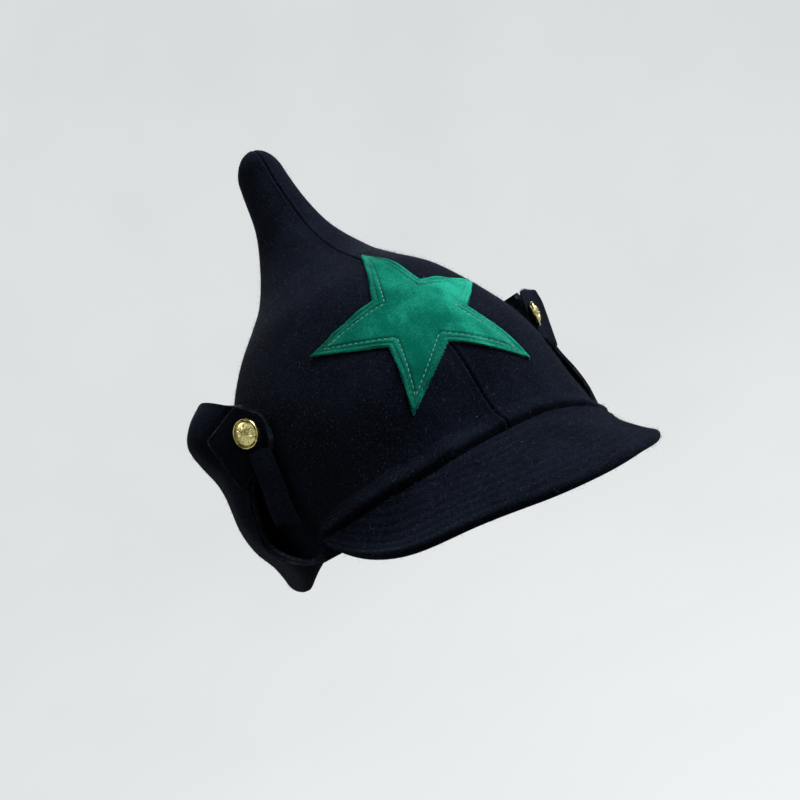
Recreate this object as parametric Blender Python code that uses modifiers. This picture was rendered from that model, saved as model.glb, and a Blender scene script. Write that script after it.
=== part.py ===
"""Pointed felt cap with a visor, a turned-up neck flap and a star patch.

Metres, +Z up, front towards -Y, wearer's right towards -X. The origin is the
centre of the head opening, in the plane of the rim.
"""

import math
from collections import namedtuple

import bpy
from mathutils import Vector

# Driving dimensions, in metres
HEAD_LENGTH = 0.203
HEAD_WIDTH = 0.160
DOME_HEIGHT = 0.138
SPIKE_LENGTH = 0.0775
SPIKE_RADIUS = 0.010
TIP_ROUNDING = 0.0125
FELT = 0.003
SEAM_GAP = 0.0003
CLEARANCE = 0.0003
EDGE_ARCH = 0.006

VISOR_REACH = 0.0418
VISOR_SLOPE = 0.732
VISOR_CURL = 0.0379
VISOR_DIP = 0.0075
VISOR_THICKNESS = 0.0036
BAND_HEIGHT = 0.0130
WELT_WIDTH = 0.0078
WELT_DEPTH = 0.0042

STAR_RADIUS = 0.0522
STAR_CENTRE = 0.0777
STAR_THICKNESS = 0.0012
STAR_SEAT = 0.0006

FLAP_HEIGHT = 0.089
FLAP_STAND = 0.0108
FLAP_THICKNESS = 0.0034
FOLD_DROP = 0.0066

BUTTON_DIAMETER = 0.014
BUTTON_DOME = 0.0034
BUTTON_EDGE = 0.0010
BUTTON_HEIGHT = 0.063
BUTTON_STANDOFF = 0.0092
SHANK_DIAMETER = 0.0036
SHANK_PLAY = 0.0008

LAPPET_REACH = 0.0240
LAPPET_THICKNESS = 0.0026
TONGUE_WIDTH = 0.0115
TONGUE_LENGTH = 0.027
TONGUE_THICKNESS = 0.0024
TONGUE_TOP = 0.046

# Proportions and angles, in degrees from the front
SIDE_SEAM_TURN = 116.0
VISOR_TURN = 60.0
VISOR_SQUARENESS = 1.90
VISOR_CURL_POWER = 2.8
VISOR_END_SWEEP = 86.0
ARCH_FADE = 0.33
WELT_TAPER = 0.45
STAR_NOTCH = 0.42
STAR_TILT = 2.1
BUTTON_TURN = 66.0
BUTTON_FACING = 37.5
TONGUE_TURN = 67.5

# Crown sections: heights above the rim as shares of the dome height, extents
# as shares of half the head length and half the head width, and how square
# the section is, 2 being an ellipse
Section = namedtuple("Section", "height front back side squareness")
DOME_SECTIONS = (
    Section(0.00, 1.000, 1.000, 1.000, 2.29),
    Section(0.16, 0.930, 1.020, 1.010, 2.25),
    Section(0.35, 0.902, 1.050, 0.980, 2.24),
    Section(0.45, 0.848, 1.000, 0.958, 2.16),
    Section(0.55, 0.776, 0.910, 0.924, 1.99),
    Section(0.65, 0.713, 0.795, 0.834, 1.87),
    Section(0.75, 0.634, 0.665, 0.710, 1.81),
    Section(0.86, 0.465, 0.508, 0.540, 1.82),
    Section(0.95, 0.325, 0.405, 0.414, 1.90),
)
# Spike sections: heights above the dome as shares of the spike length,
# extents as shares of the spike radius
SPIKE_SECTIONS = (
    Section(0.19, 1.73, 3.23, 2.15, 1.98),
    Section(0.47, 0.93, 2.16, 1.41, 2.00),
    Section(0.76, 0.45, 1.76, 1.10, 2.00),
    Section(1.00, 0.40, 1.42, 0.93, 2.00),
)
BULGE_SECTION = DOME_SECTIONS[2]

# Neck flap stations: turn from the front, top as a share of the flap height,
# depth of the fold as a share of the fold drop, stands off the rim outline as
# shares of the flap stand, one for each rise
FlapRise = namedtuple("FlapRise", "height edge_turn")
FLAP_RISES = (
    FlapRise(0.06, 72.0),
    FlapRise(0.20, 72.0),
    FlapRise(0.34, 73.0),
    FlapRise(0.48, 74.5),
    FlapRise(0.62, 75.0),
    FlapRise(0.74, 75.0),
    FlapRise(0.84, 75.0),
    FlapRise(0.93, 75.0),
    FlapRise(1.00, 75.0),
)
FlapStation = namedtuple("FlapStation", "turn top fold stands")
FLAP_STATIONS = (
    FlapStation(72.0, 0.92, 1.00, (0.72, 0.81, 0.80, 0.76, 0.66, 0.50, 0.48, 0.42, 0.30)),
    FlapStation(84.0, 1.00, 0.85, (0.66, 0.90, 0.95, 1.00, 1.15, 1.48, 1.78, 1.45, 0.62)),
    FlapStation(104.0, 0.97, 0.75, (0.50, 0.56, 0.58, 0.60, 0.66, 0.80, 0.92, 0.80, 0.50)),
    FlapStation(180.0, 0.80, 0.75, (0.50, 0.56, 0.60, 0.60, 0.60, 0.58, 0.56, 0.54, 0.50)),
)
# The fold under the rim: drops as shares of the fold drop, stands as shares
# of the flap stand, turn of the front edge
FlapFold = namedtuple("FlapFold", "drop stand edge_turn")
FLAP_FOLDS = (
    FlapFold(0.40, -0.12, 68.0),
    FlapFold(0.86, 0.02, 71.0),
    FlapFold(1.00, 0.26, 74.0),
    FlapFold(0.66, 0.50, 73.5),
    FlapFold(0.00, 0.62, 72.5),
)
FLAP_ROOT_TURN = 66.0

# Lappet outline round the button: angle from the crown side, anticlockwise
# seen from the button's face, reach as a share of the lappet reach
LappetCorner = namedtuple("LappetCorner", "angle reach")
LAPPET_OUTLINE = (
    LappetCorner(15.0, 0.48),
    LappetCorner(72.0, 0.53),
    LappetCorner(116.0, 0.50),
    LappetCorner(162.0, 0.79),
    LappetCorner(198.0, 0.70),
    LappetCorner(236.0, 0.96),
    LappetCorner(277.0, 0.53),
    LappetCorner(318.0, 0.50),
)

# Button rim: radii as shares of the button's radius, heights as shares of its
# edge; the dome rises inside it from its own share of the radius
RimCorner = namedtuple("RimCorner", "radius height")
BUTTON_RIM = (
    RimCorner(0.86, 1.5),
    RimCorner(0.96, 1.5),
    RimCorner(1.00, 1.0),
    RimCorner(1.00, 0.4),
    RimCorner(0.94, 0.0),
)
DOME_RADIUS = 0.85
DOME_FOOT = 20.0

# Faceting
GORE_SEGMENTS = 15
DOME_RINGS = 13
SPIKE_RINGS = 6
TIP_RINGS = 4
VISOR_SEGMENTS = 24
VISOR_ROWS = 5
WELT_SEGMENTS = 26
WELT_SIDES = 8
STAR_EDGE_STEPS = 4
STAR_RINGS = 5
FLAP_COLUMNS = 17
FLAP_ROWS = 17
LAPPET_SIDES = 24
LAPPET_RINGS = 3
TONGUE_ROWS = 6
BUTTON_SIDES = 18
DOME_STEPS = 4
STAR_STRIDES = 10

# Small steps for measuring the crown's slope
PROBE_RISE = 0.0005
PROBE_TURN = 0.4


def hermite(knots, values, x):
    """Smooth curve through the knots; values may be numbers or Vectors."""
    x = min(max(x, knots[0]), knots[-1])
    k = max(i for i in range(len(knots) - 1) if knots[i] <= x or i == 0)

    def slope(i):
        low = max(i - 1, 0)
        high = min(i + 1, len(knots) - 1)
        return (values[high] - values[low]) / (knots[high] - knots[low])

    span = knots[k + 1] - knots[k]
    t = (x - knots[k]) / span
    blend_in = t * t * (3 - 2 * t)
    rise = span * t * (1 - t)
    return (values[k] * (1 - blend_in) + values[k + 1] * blend_in
            + slope(k) * (rise * (1 - t)) - slope(k + 1) * (rise * t))


def spread(start, end, count):
    """Count + 1 evenly spaced numbers from start to end."""
    return [start + (end - start) * i / count for i in range(count + 1)]


def crown_levels():
    """The crown's inner sections: heights, and at each its front, back, side and squareness."""
    half_length = HEAD_LENGTH / 2
    half_width = HEAD_WIDTH / 2
    heights = [s.height * DOME_HEIGHT for s in DOME_SECTIONS]
    shapes = [Vector((s.front * half_length, s.back * half_length,
                      s.side * half_width, s.squareness)) for s in DOME_SECTIONS]
    for s in SPIKE_SECTIONS:
        heights.append(DOME_HEIGHT + s.height * SPIKE_LENGTH)
        shapes.append(Vector((s.front * SPIKE_RADIUS, s.back * SPIKE_RADIUS,
                              s.side * SPIKE_RADIUS, s.squareness)))
    return heights, shapes


LEVELS, SHAPES = crown_levels()
INNER_TOP = DOME_HEIGHT + SPIKE_LENGTH
ROUNDING_START = INNER_TOP - TIP_ROUNDING


def section(z):
    """Inner section at height z: centre y, half length, half width, squareness."""
    front, back, side, squareness = hermite(LEVELS, SHAPES, z)
    over = min(max((z - ROUNDING_START) / TIP_ROUNDING, 0.0), 1.0)
    closing = math.sqrt(max(1.0 - over ** 2, 0.0))
    half = (front + back) / 2 * closing
    return (back - front) / 2, half, side * closing, squareness


def signed_power(value, power):
    return math.copysign(abs(value) ** power, value)


def inner_point(z, turn):
    """Point of the crown's inner surface; turn in degrees, + towards +X."""
    centre, half, side, power = section(z)
    angle = math.radians(turn)
    x = side * signed_power(math.sin(angle), 2 / power)
    y = centre - half * signed_power(math.cos(angle), 2 / power)
    return Vector((x, y, z))


def normal_at(z, turn):
    """Outward normal of the crown at a height and turn."""
    along = inner_point(z + PROBE_RISE, turn) - inner_point(z - PROBE_RISE, turn)
    around = inner_point(z, turn + PROBE_TURN) - inner_point(z, turn - PROBE_TURN)
    return around.cross(along).normalized()


def outer_point(z, turn, out=0.0):
    """Point a given distance outside the crown's felt."""
    return inner_point(z, turn) + normal_at(z, turn) * (FELT + out)


def level_normal(z, turn):
    """Outward direction in the horizontal plane."""
    n = normal_at(z, turn)
    return Vector((n.x, n.y, 0.0)).normalized()


def outside_by(point):
    """Rough distance of a point outside the crown's outer surface."""
    z = min(max(point.z, 0.0), INNER_TOP)
    centre, half, side, power = section(z)
    if half < CLEARANCE or side < CLEARANCE:
        return (point - Vector((0.0, centre, z))).length
    ratio = (abs(point.x / side) ** power
             + abs((point.y - centre) / half) ** power) ** (1 / power)
    turn = math.degrees(math.atan2(point.x / side, (centre - point.y) / half))
    lean = normal_at(max(z, FELT), turn).z
    reach = Vector((point.x, point.y - centre, 0.0)).length
    return reach * (1 - 1 / max(ratio, 0.01)) * math.sqrt(1 - lean * lean) - FELT


def reach_surface(start, direction, out):
    """Walk from start along direction to the surface that lies out of the felt."""
    near = 0.0
    far = HEAD_LENGTH
    for _ in range(30):
        middle = (near + far) / 2
        if outside_by(start + direction * middle) > out:
            near = middle
        else:
            far = middle
    return start + direction * near


def edge_height(turn):
    """Height of the crown's cut edge, which arches up over the forehead."""
    from_front = abs((turn + 180.0) % 360.0 - 180.0)
    share = min(from_front / VISOR_TURN, 1.0)
    return EDGE_ARCH * (1 - share ** 2) ** 2


def new_object(name, mesh, parts, material):
    obj = bpy.data.objects.new(name, mesh)
    parts.objects.link(obj)
    obj.data.materials.append(material)
    return obj


def smooth_sheet(name, rows, parts, material, closed=False, centre=None):
    """Open surface through rows of points, each row with as many points."""
    columns = len(rows[0])
    verts = [point for row in rows for point in row]
    faces = []
    last = columns if closed else columns - 1
    for r in range(len(rows) - 1):
        for c in range(last):
            d = (c + 1) % columns
            faces.append((r * columns + c, r * columns + d,
                          (r + 1) * columns + d, (r + 1) * columns + c))
    if centre is not None:
        verts.append(centre)
        hub = len(verts) - 1
        top = (len(rows) - 1) * columns
        for c in range(columns):
            faces.append((top + c, top + (c + 1) % columns, hub))
    mesh = bpy.data.meshes.new(name)
    mesh.from_pydata(verts, [], faces)
    mesh.shade_smooth()
    return new_object(name, mesh, parts, material)


def thicken(obj, thickness, offset):
    """Give an open surface its wall: offset 1 outwards, 0 half each way."""
    wall = obj.modifiers.new("Wall", "SOLIDIFY")
    wall.thickness = thickness
    wall.offset = offset
    wall.use_quality_normals = True
    wall.use_rim = True


def ring_heights():
    """Heights of the crown's rings, closer together round the tip."""
    heights = spread(0.0, DOME_HEIGHT, DOME_RINGS)
    heights += spread(DOME_HEIGHT, ROUNDING_START, SPIKE_RINGS)[1:]
    for angle in spread(0.0, 88.0, TIP_RINGS)[1:]:
        heights.append(ROUNDING_START + TIP_ROUNDING * math.sin(math.radians(angle)))
    return heights


def gore(name, start, end, segments, parts, material):
    """One gore of the crown, from one seam to the next."""
    rows = []
    for height in ring_heights():
        row = []
        ring = [inner_point(height, turn) for turn in spread(start, end, segments)]
        length = sum((b - a).length for a, b in zip(ring, ring[1:]))
        trim = (end - start) * SEAM_GAP / 2 / length
        for turn in spread(start + trim, end - trim, segments):
            fade = max(1 - height / (DOME_HEIGHT * ARCH_FADE), 0.0)
            row.append(inner_point(height + edge_height(turn) * fade, turn))
        rows.append(row)
    obj = smooth_sheet(name, rows, parts, material)
    thicken(obj, FELT, 1.0)
    return obj


def build_crown(parts, material):
    back = 360.0 - SIDE_SEAM_TURN
    gore("crown_gore_right", -SIDE_SEAM_TURN, 0.0, GORE_SEGMENTS, parts, material)
    gore("crown_gore_left", 0.0, SIDE_SEAM_TURN, GORE_SEGMENTS, parts, material)
    gore("crown_gore_back", SIDE_SEAM_TURN, back, GORE_SEGMENTS + 1, parts, material)


def visor_height(x, y, half_span, front):
    """Height of the visor's middle surface over a place in the plan."""
    curl = VISOR_CURL * (abs(x) / half_span) ** VISOR_CURL_POWER
    return BAND_HEIGHT - curl + VISOR_SLOPE * (y - front)


def visor_root(turn):
    """Point of the visor's root line, against the crown."""
    out = VISOR_THICKNESS / 2 + CLEARANCE
    front = outer_point(BAND_HEIGHT, 0.0).y
    half_span = outer_point(BAND_HEIGHT / 2, VISOR_TURN).x
    z = BAND_HEIGHT
    for _ in range(5):
        place = outer_point(z, turn, out)
        z = max(visor_height(place.x, place.y, half_span, front), BAND_HEIGHT / 3)
    return outer_point(z, turn, out)


def build_visor(parts, material):
    front = outer_point(BAND_HEIGHT, 0.0).y
    half_span = outer_point(BAND_HEIGHT / 2, VISOR_TURN).x
    corner = visor_root(VISOR_TURN)
    depth = corner.y - front + VISOR_REACH
    rows = [[] for _ in range(VISOR_ROWS + 1)]
    for share in spread(-1.0, 1.0, VISOR_SEGMENTS):
        root = visor_root(share * VISOR_TURN)
        sweep = math.radians(share * VISOR_END_SWEEP)
        x = corner.x * signed_power(math.sin(sweep), 2 / VISOR_SQUARENESS)
        y = corner.y - depth * signed_power(math.cos(sweep), 2 / VISOR_SQUARENESS)
        for row, t in zip(rows, spread(0.0, 1.0, VISOR_ROWS)):
            px = root.x + (x - root.x) * t
            py = root.y + (y - root.y) * t
            lift = (root.z - visor_height(root.x, root.y, half_span, front)) * (1 - t)
            dip = VISOR_DIP * math.sin(math.pi * t ** 0.75) * (px / half_span) ** 2
            row.append(Vector((px, py, visor_height(px, py, half_span, front) + lift - dip)))
    obj = smooth_sheet("visor", rows, parts, material)
    thicken(obj, VISOR_THICKNESS, 0.0)


def build_welt(parts, material):
    """Flattened roll on the crown, just over the visor's root."""
    rows = []
    for share in spread(-1.0, 1.0, WELT_SEGMENTS):
        turn = share * VISOR_TURN
        root = visor_root(turn)
        swell = 1 - WELT_TAPER * abs(share) ** 8
        tall = WELT_WIDTH / 2 * swell
        deep = WELT_DEPTH / 2 * swell
        lift = VISOR_THICKNESS / 2 + CLEARANCE + tall
        row = []
        for angle in spread(360.0, 0.0, WELT_SIDES)[:-1]:
            up = lift + tall * math.sin(math.radians(angle))
            out = CLEARANCE + deep * (1 + math.cos(math.radians(angle)))
            row.append(outer_point(root.z + up, turn, out))
        rows.append(row)
    obj = smooth_sheet("visor_welt", rows, parts, material, closed=True)
    cap_ends(obj, rows)


def cap_ends(obj, rows):
    """Close the two open ends of a tube made of rings."""
    mesh = obj.data
    count = len(rows[0])
    first = list(range(count))
    last = [(len(rows) - 1) * count + c for c in range(count)]
    verts = [v.co.copy() for v in mesh.vertices]
    faces = [tuple(p.vertices) for p in mesh.polygons]
    faces.append(tuple(reversed(first)))
    faces.append(tuple(last))
    mesh.clear_geometry()
    mesh.from_pydata(verts, [], faces)
    mesh.shade_smooth()


def front_profile():
    """Heights up the front seam with their distance from the rim."""
    table = [(0.0, 0.0)]
    place = outer_point(0.0, 0.0)
    for z in spread(0.0, ROUNDING_START, 60)[1:]:
        following = outer_point(z, 0.0)
        table.append((table[-1][0] + (following - place).length, z))
        place = following
    return table


def on_front(across, up, profile):
    """Seat of the star at a distance across and up from its centre."""
    distances = [d for d, _ in profile]
    heights = [z for _, z in profile]
    z = hermite(distances, heights, STAR_CENTRE + up)
    place = seam = outer_point(z, 0.0, STAR_SEAT)
    normal = normal_at(z, 0.0)
    side = Vector((math.copysign(1.0, across), 0.0, 0.0))
    stride = abs(across) / STAR_STRIDES
    reached = 0.0
    for _ in range(STAR_STRIDES if stride > 0 else 0):
        sideways = stride
        for _ in range(2):
            start = seam + side * (reached + sideways) + normal * HEAD_LENGTH / 8
            following = reach_surface(start, -normal, STAR_SEAT)
            sideways *= stride / (following - place).length
        reached += sideways
        place = following
    return place


def build_star(parts, material):
    profile = front_profile()
    corners = []
    for k in range(10):
        reach = STAR_RADIUS * (1.0 if k % 2 == 0 else STAR_NOTCH)
        angle = math.radians(90 + STAR_TILT + 36 * k)
        corners.append((reach * math.cos(angle), reach * math.sin(angle)))
    outline = []
    for a, b in zip(corners, corners[1:] + corners[:1]):
        for t in spread(0.0, 1.0, STAR_EDGE_STEPS)[:-1]:
            outline.append((a[0] + (b[0] - a[0]) * t, a[1] + (b[1] - a[1]) * t))
    rows = []
    for share in spread(1.0, 0.0, STAR_RINGS)[:-1]:
        rows.append([on_front(x * share, y * share, profile) for x, y in outline])
    centre = on_front(0.0, 0.0, profile)
    obj = smooth_sheet("star_patch", rows, parts, material, closed=True, centre=centre)
    thicken(obj, STAR_THICKNESS, 1.0)


def flap_point(turn, z, stand):
    """Point of the neck flap's middle surface, off the crown's outline."""
    reference = min(max(z, 0.0), BULGE_SECTION.height * DOME_HEIGHT)
    base = inner_point(reference, turn) + level_normal(reference, turn) * (FELT + stand)
    return Vector((base.x, base.y, z))


def flap_sections():
    """For each station, the list of (turn, height, stand) down its section."""
    sections = []
    for number, station in enumerate(FLAP_STATIONS):
        edge = number == 0
        root = FLAP_ROOT_TURN if edge else station.turn
        sunk = min(outer_point(0.0, root).z, 0.0)
        rows = [Vector((root, sunk - CLEARANCE, -FELT / 2))]
        for fold in FLAP_FOLDS:
            turn = fold.edge_turn if edge else station.turn
            drop = fold.drop * station.fold * FOLD_DROP
            rows.append(Vector((turn, min(-drop, rows[0].y), fold.stand * FLAP_STAND)))
        for rise, stand in zip(FLAP_RISES, station.stands):
            turn = rise.edge_turn if edge else station.turn
            height = rise.height * station.top * FLAP_HEIGHT
            rows.append(Vector((turn, height, stand * FLAP_STAND)))
        sections.append(rows)
    return sections


def build_flap(parts, material):
    """Right half of the guard, mirrored over the middle, then given its wall."""
    sections = flap_sections()
    knots = [station.turn for station in FLAP_STATIONS]
    count = len(sections[0])
    row_places = spread(0.0, count - 1.0, FLAP_ROWS)
    columns = []
    for share in spread(0.0, 1.0, FLAP_COLUMNS):
        turn = knots[0] + (knots[-1] - knots[0]) * share ** 1.4
        stations = [hermite(knots, [rows[r] for rows in sections], turn) for r in range(count)]
        column = []
        for place in row_places:
            t, z, stand = hermite(list(range(count)), stations, place)
            column.append(flap_point(-t, z, stand))
        columns.append(column)
    for point in columns[-1]:
        point.x = 0.0
    obj = smooth_sheet("neck_flap", columns, parts, material)
    mirror = obj.modifiers.new("Both wings", "MIRROR")
    mirror.use_axis = (True, False, False)
    mirror.use_clip = True
    mirror.merge_threshold = 0.0001
    thicken(obj, FLAP_THICKNESS, 0.0)


def button_frame(side):
    """Centre of a button's back, its outward axis and its inward tangent."""
    facing = math.radians(BUTTON_FACING)
    axis = Vector((side * math.sin(facing), -math.cos(facing), 0.0))
    toward = Vector((-side * math.cos(facing), -math.sin(facing), 0.0))
    seat = outer_point(BUTTON_HEIGHT, side * BUTTON_TURN)
    base = seat + level_normal(BUTTON_HEIGHT, side * BUTTON_TURN) * BUTTON_STANDOFF
    return base, axis, toward


def build_lappet(name, side, parts, material):
    """Kite-shaped end with a hole for the button's shank."""
    base, axis, toward = button_frame(side)
    middle = base - axis * (CLEARANCE + LAPPET_THICKNESS / 2)
    angles = [corner.angle for corner in LAPPET_OUTLINE]
    reaches = [corner.reach for corner in LAPPET_OUTLINE]
    knots = [a - 360 for a in angles] + angles + [a + 360 for a in angles]
    hole = (SHANK_DIAMETER + SHANK_PLAY) / 2
    rows = []
    for t in spread(0.0, 1.0, LAPPET_RINGS):
        row = []
        for angle in spread(0.0, 360.0, LAPPET_SIDES)[:-1]:
            rim = hermite(knots, reaches * 3, angle) * LAPPET_REACH
            radius = hole + (rim - hole) * t
            reach = radius * math.cos(math.radians(angle))
            rise = radius * math.sin(math.radians(angle))
            point = middle + toward * reach + Vector((0.0, 0.0, rise))
            need = LAPPET_THICKNESS / 2 + CLEARANCE
            short = need - outside_by(point)
            if short > 0:
                point = point + axis * short * 1.3
            row.append(point)
        rows.append(row)
    if side < 0:
        rows = rows[::-1]
    obj = smooth_sheet(name, rows, parts, material, closed=True)
    thicken(obj, LAPPET_THICKNESS, 0.0)


def build_tongue(name, side, parts, material):
    """Strip end that lies on the crown inside the wing."""
    rows = []
    for t in spread(0.0, 1.0, TONGUE_ROWS):
        z = TONGUE_TOP - TONGUE_LENGTH * t
        row = []
        for across in spread(-1.0, 1.0, 4):
            around = inner_point(z, TONGUE_TURN + 1) - inner_point(z, TONGUE_TURN - 1)
            turn = TONGUE_TURN + across * TONGUE_WIDTH / around.length
            out = CLEARANCE + TONGUE_THICKNESS * 0.5 * (1 - across * across)
            row.append(outer_point(z, side * turn, out))
        rows.append(row if side > 0 else row[::-1])
    obj = smooth_sheet(name, rows[::-1], parts, material)
    thicken(obj, TONGUE_THICKNESS, 1.0)


def build_button(name, side, parts, material):
    """Domed button with a raised rim, turned with its shank."""
    base, axis, _ = button_frame(side)
    radius = BUTTON_DIAMETER / 2
    shank = SHANK_DIAMETER / 2
    slant = axis.angle(normal_at(BUTTON_HEIGHT, side * BUTTON_TURN))
    floor = reach_surface(base, -axis, CLEARANCE + shank * math.sin(slant))
    depth = (floor - base).length
    profile = []
    for angle in spread(90.0, DOME_FOOT, DOME_STEPS):
        bend = math.radians(angle)
        profile.append((radius * DOME_RADIUS * math.cos(bend),
                        BUTTON_EDGE + (BUTTON_DOME - BUTTON_EDGE) * math.sin(bend)))
    profile += [(radius * corner.radius, BUTTON_EDGE * corner.height) for corner in BUTTON_RIM]
    profile += [(shank, 0.0), (shank, -depth), (0.0, -depth)]
    mesh = bpy.data.meshes.new(name)
    edges = [(i, i + 1) for i in range(len(profile) - 1)]
    mesh.from_pydata([(x, 0.0, z) for x, z in profile], edges, [])
    obj = new_object(name, mesh, parts, material)
    obj.location = base
    obj.rotation_euler = axis.to_track_quat("Z", "Y").to_euler()
    turned = obj.modifiers.new("Turned", "SCREW")
    turned.steps = BUTTON_SIDES
    turned.render_steps = BUTTON_SIDES
    turned.use_merge_vertices = True
    turned.merge_threshold = 0.00001
    turned.use_smooth_shade = True


def make_material(name, colour, roughness, metallic=0.0):
    material = bpy.data.materials.new(name)
    material.use_nodes = True
    shader = material.node_tree.nodes["Principled BSDF"]
    shader.inputs["Base Color"].default_value = (*colour, 1.0)
    shader.inputs["Roughness"].default_value = roughness
    shader.inputs["Metallic"].default_value = metallic
    return material


def main():
    for obj in list(bpy.data.objects):
        bpy.data.objects.remove(obj)
    parts = bpy.data.collections.new("pointed_felt_cap")
    bpy.context.scene.collection.children.link(parts)
    navy = make_material("wool_felt", (0.009, 0.011, 0.024), 0.95)
    green = make_material("star_velvet", (0.010, 0.230, 0.150), 0.85)
    brass = make_material("brass", (0.830, 0.620, 0.220), 0.25, 1.0)
    build_crown(parts, navy)
    build_visor(parts, navy)
    build_welt(parts, navy)
    build_star(parts, green)
    build_flap(parts, navy)
    for name, side in (("right", -1.0), ("left", 1.0)):
        build_lappet(f"lappet_{name}", side, parts, navy)
        build_tongue(f"tongue_{name}", side, parts, navy)
        build_button(f"button_{name}", side, parts, brass)


main()
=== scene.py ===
"""Looks of the pointed wool felt cap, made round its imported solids.

Metres, +Z up, front towards -Y, wearer's right towards -X. Turns are degrees
from the front, + towards +X.
"""

import math
from collections import namedtuple

import bpy
import numpy as np
from bpy.props import FloatProperty, FloatVectorProperty, IntProperty, PointerProperty
from mathutils import Matrix, Vector


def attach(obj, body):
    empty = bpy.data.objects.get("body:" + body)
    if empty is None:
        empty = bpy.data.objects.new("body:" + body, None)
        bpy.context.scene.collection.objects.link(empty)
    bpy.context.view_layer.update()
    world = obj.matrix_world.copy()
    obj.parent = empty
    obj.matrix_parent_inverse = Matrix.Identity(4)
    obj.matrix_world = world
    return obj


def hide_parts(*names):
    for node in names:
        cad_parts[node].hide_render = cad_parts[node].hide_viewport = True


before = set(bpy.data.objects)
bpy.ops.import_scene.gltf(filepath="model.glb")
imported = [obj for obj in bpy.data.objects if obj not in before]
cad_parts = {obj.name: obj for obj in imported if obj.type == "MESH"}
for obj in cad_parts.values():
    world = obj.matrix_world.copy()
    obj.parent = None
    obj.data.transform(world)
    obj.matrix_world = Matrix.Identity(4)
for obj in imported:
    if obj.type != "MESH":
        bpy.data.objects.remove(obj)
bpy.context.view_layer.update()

bl_info = {
    "name": "Pointed felt cap",
    "version": (1, 0, 0),
    "blender": (4, 5, 0),
    "location": "View3D > Sidebar > Felt cap",
    "description": "Models the felt, velvet and brass of a pointed cap and its studio",
    "category": "Object",
}

# Pattern of the cap, the same sizes as its solids
HEAD_LENGTH = 0.203
HEAD_WIDTH = 0.160
DOME_HEIGHT = 0.138
SPIKE_LENGTH = 0.0775
SPIKE_RADIUS = 0.010
TIP_ROUNDING = 0.0125
FELT = 0.003
ARCH_FADE = 0.33
SIDE_SEAM_TURN = 116.0

VISOR_TURN = 60.0
VISOR_REACH = 0.0418
VISOR_SLOPE = 0.732
VISOR_CURL = 0.0379
VISOR_CURL_POWER = 2.8
VISOR_DIP = 0.0075
VISOR_SQUARENESS = 1.90
VISOR_END_SWEEP = 86.0
VISOR_THICKNESS = 0.0036
BAND_HEIGHT = 0.0130
WELT_TAPER = 0.45

# Star: its centre up the front seam, its gap to the felt and the cuts across it
STAR_CENTRE = 0.0777
STAR_SEAT = 0.0002
STAR_CUTS = 47
# Star's thread: its thickness, where it lies and how far it presses in, as
# shares of the velvet's thickness, the width that it pulls in, and how much
# nearer the edge each row runs at the tips
STAR_THREAD = 0.00034
STITCH_SEAT = 0.62
STITCH_PRESS = 0.45
STITCH_PULL = 0.0007
OUTER_ROW_TIPS = 0.75
INNER_ROW_TIPS = 0.55
# Star's velvet: its wall and its height at the edge as shares of its thickness,
# the width over which it rises, and the height and width of its curl and waves
STAR_WALL = 0.85
EDGE_PUFF = 0.55
EDGE_PUFF_WIDTH = 0.0012
STAR_CURL = 0.00035
STAR_CURL_WIDTH = 0.0022
STAR_WAVE = 0.00035
STAR_WAVE_WIDTH = 0.006

FLAP_HEIGHT = 0.089
FLAP_STAND = 0.0108
FLAP_THICKNESS = 0.0034
FOLD_DROP = 0.0066

BUTTON_DIAMETER = 0.014
BUTTON_HEIGHT = 0.063
BUTTON_TURN = 66.0
BUTTON_FACING = 37.5
BUTTON_STANDOFF = 0.0092
LAPPET_THICKNESS = 0.0026
TONGUE_TURN = 67.5
TONGUE_TOP = 0.046
TONGUE_LENGTH = 0.027
TONGUE_WIDTH = 0.0115
TONGUE_THICKNESS = 0.0024

# Steps at which the crown's surface is read for its normals, and how often the
# walk to it is halved
PROBE_RISE = 0.0005
PROBE_TURN = 0.4
WALK_HALVINGS = 20

# Dents of the worn felt: heights over which they come in above the rim and
# fade up the spike, and the share of their depth that is left there
DENTS_START = (0.004, 0.030)
DENTS_FADE = (0.175, 0.135)
DENTS_LEFT = 0.45

# Gores: their wall as a share of the felt, how closely their columns and rows
# are bunched, the rows of the tip, and the width at which a seam is full
GORE_WALL = 0.93
COLUMN_BUNCHING = 0.93
ROW_BUNCHING = 0.97
TIP_ROWS = 12
FULL_SEAM_WIDTH = 0.030
LEAST_SEAM = 0.25

# Swell beside a seam: its height, and its distance and width in seam widths
SEAM_SWELL = 0.00028
SWELL_AWAY = 2.4
SWELL_WIDTH = 1.6

# Crown sections: heights above the rim as shares of the dome height, extents
# as shares of half the head length and half the head width, squareness
Section = namedtuple("Section", "height front back side squareness")
DOME_SECTIONS = (
    Section(0.00, 1.000, 1.000, 1.000, 2.29),
    Section(0.16, 0.930, 1.020, 1.010, 2.25),
    Section(0.35, 0.902, 1.050, 0.980, 2.24),
    Section(0.45, 0.848, 1.000, 0.958, 2.16),
    Section(0.55, 0.776, 0.910, 0.924, 1.99),
    Section(0.65, 0.713, 0.795, 0.834, 1.87),
    Section(0.75, 0.634, 0.665, 0.710, 1.81),
    Section(0.86, 0.465, 0.508, 0.540, 1.82),
    Section(0.95, 0.325, 0.405, 0.414, 1.90),
)
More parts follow.
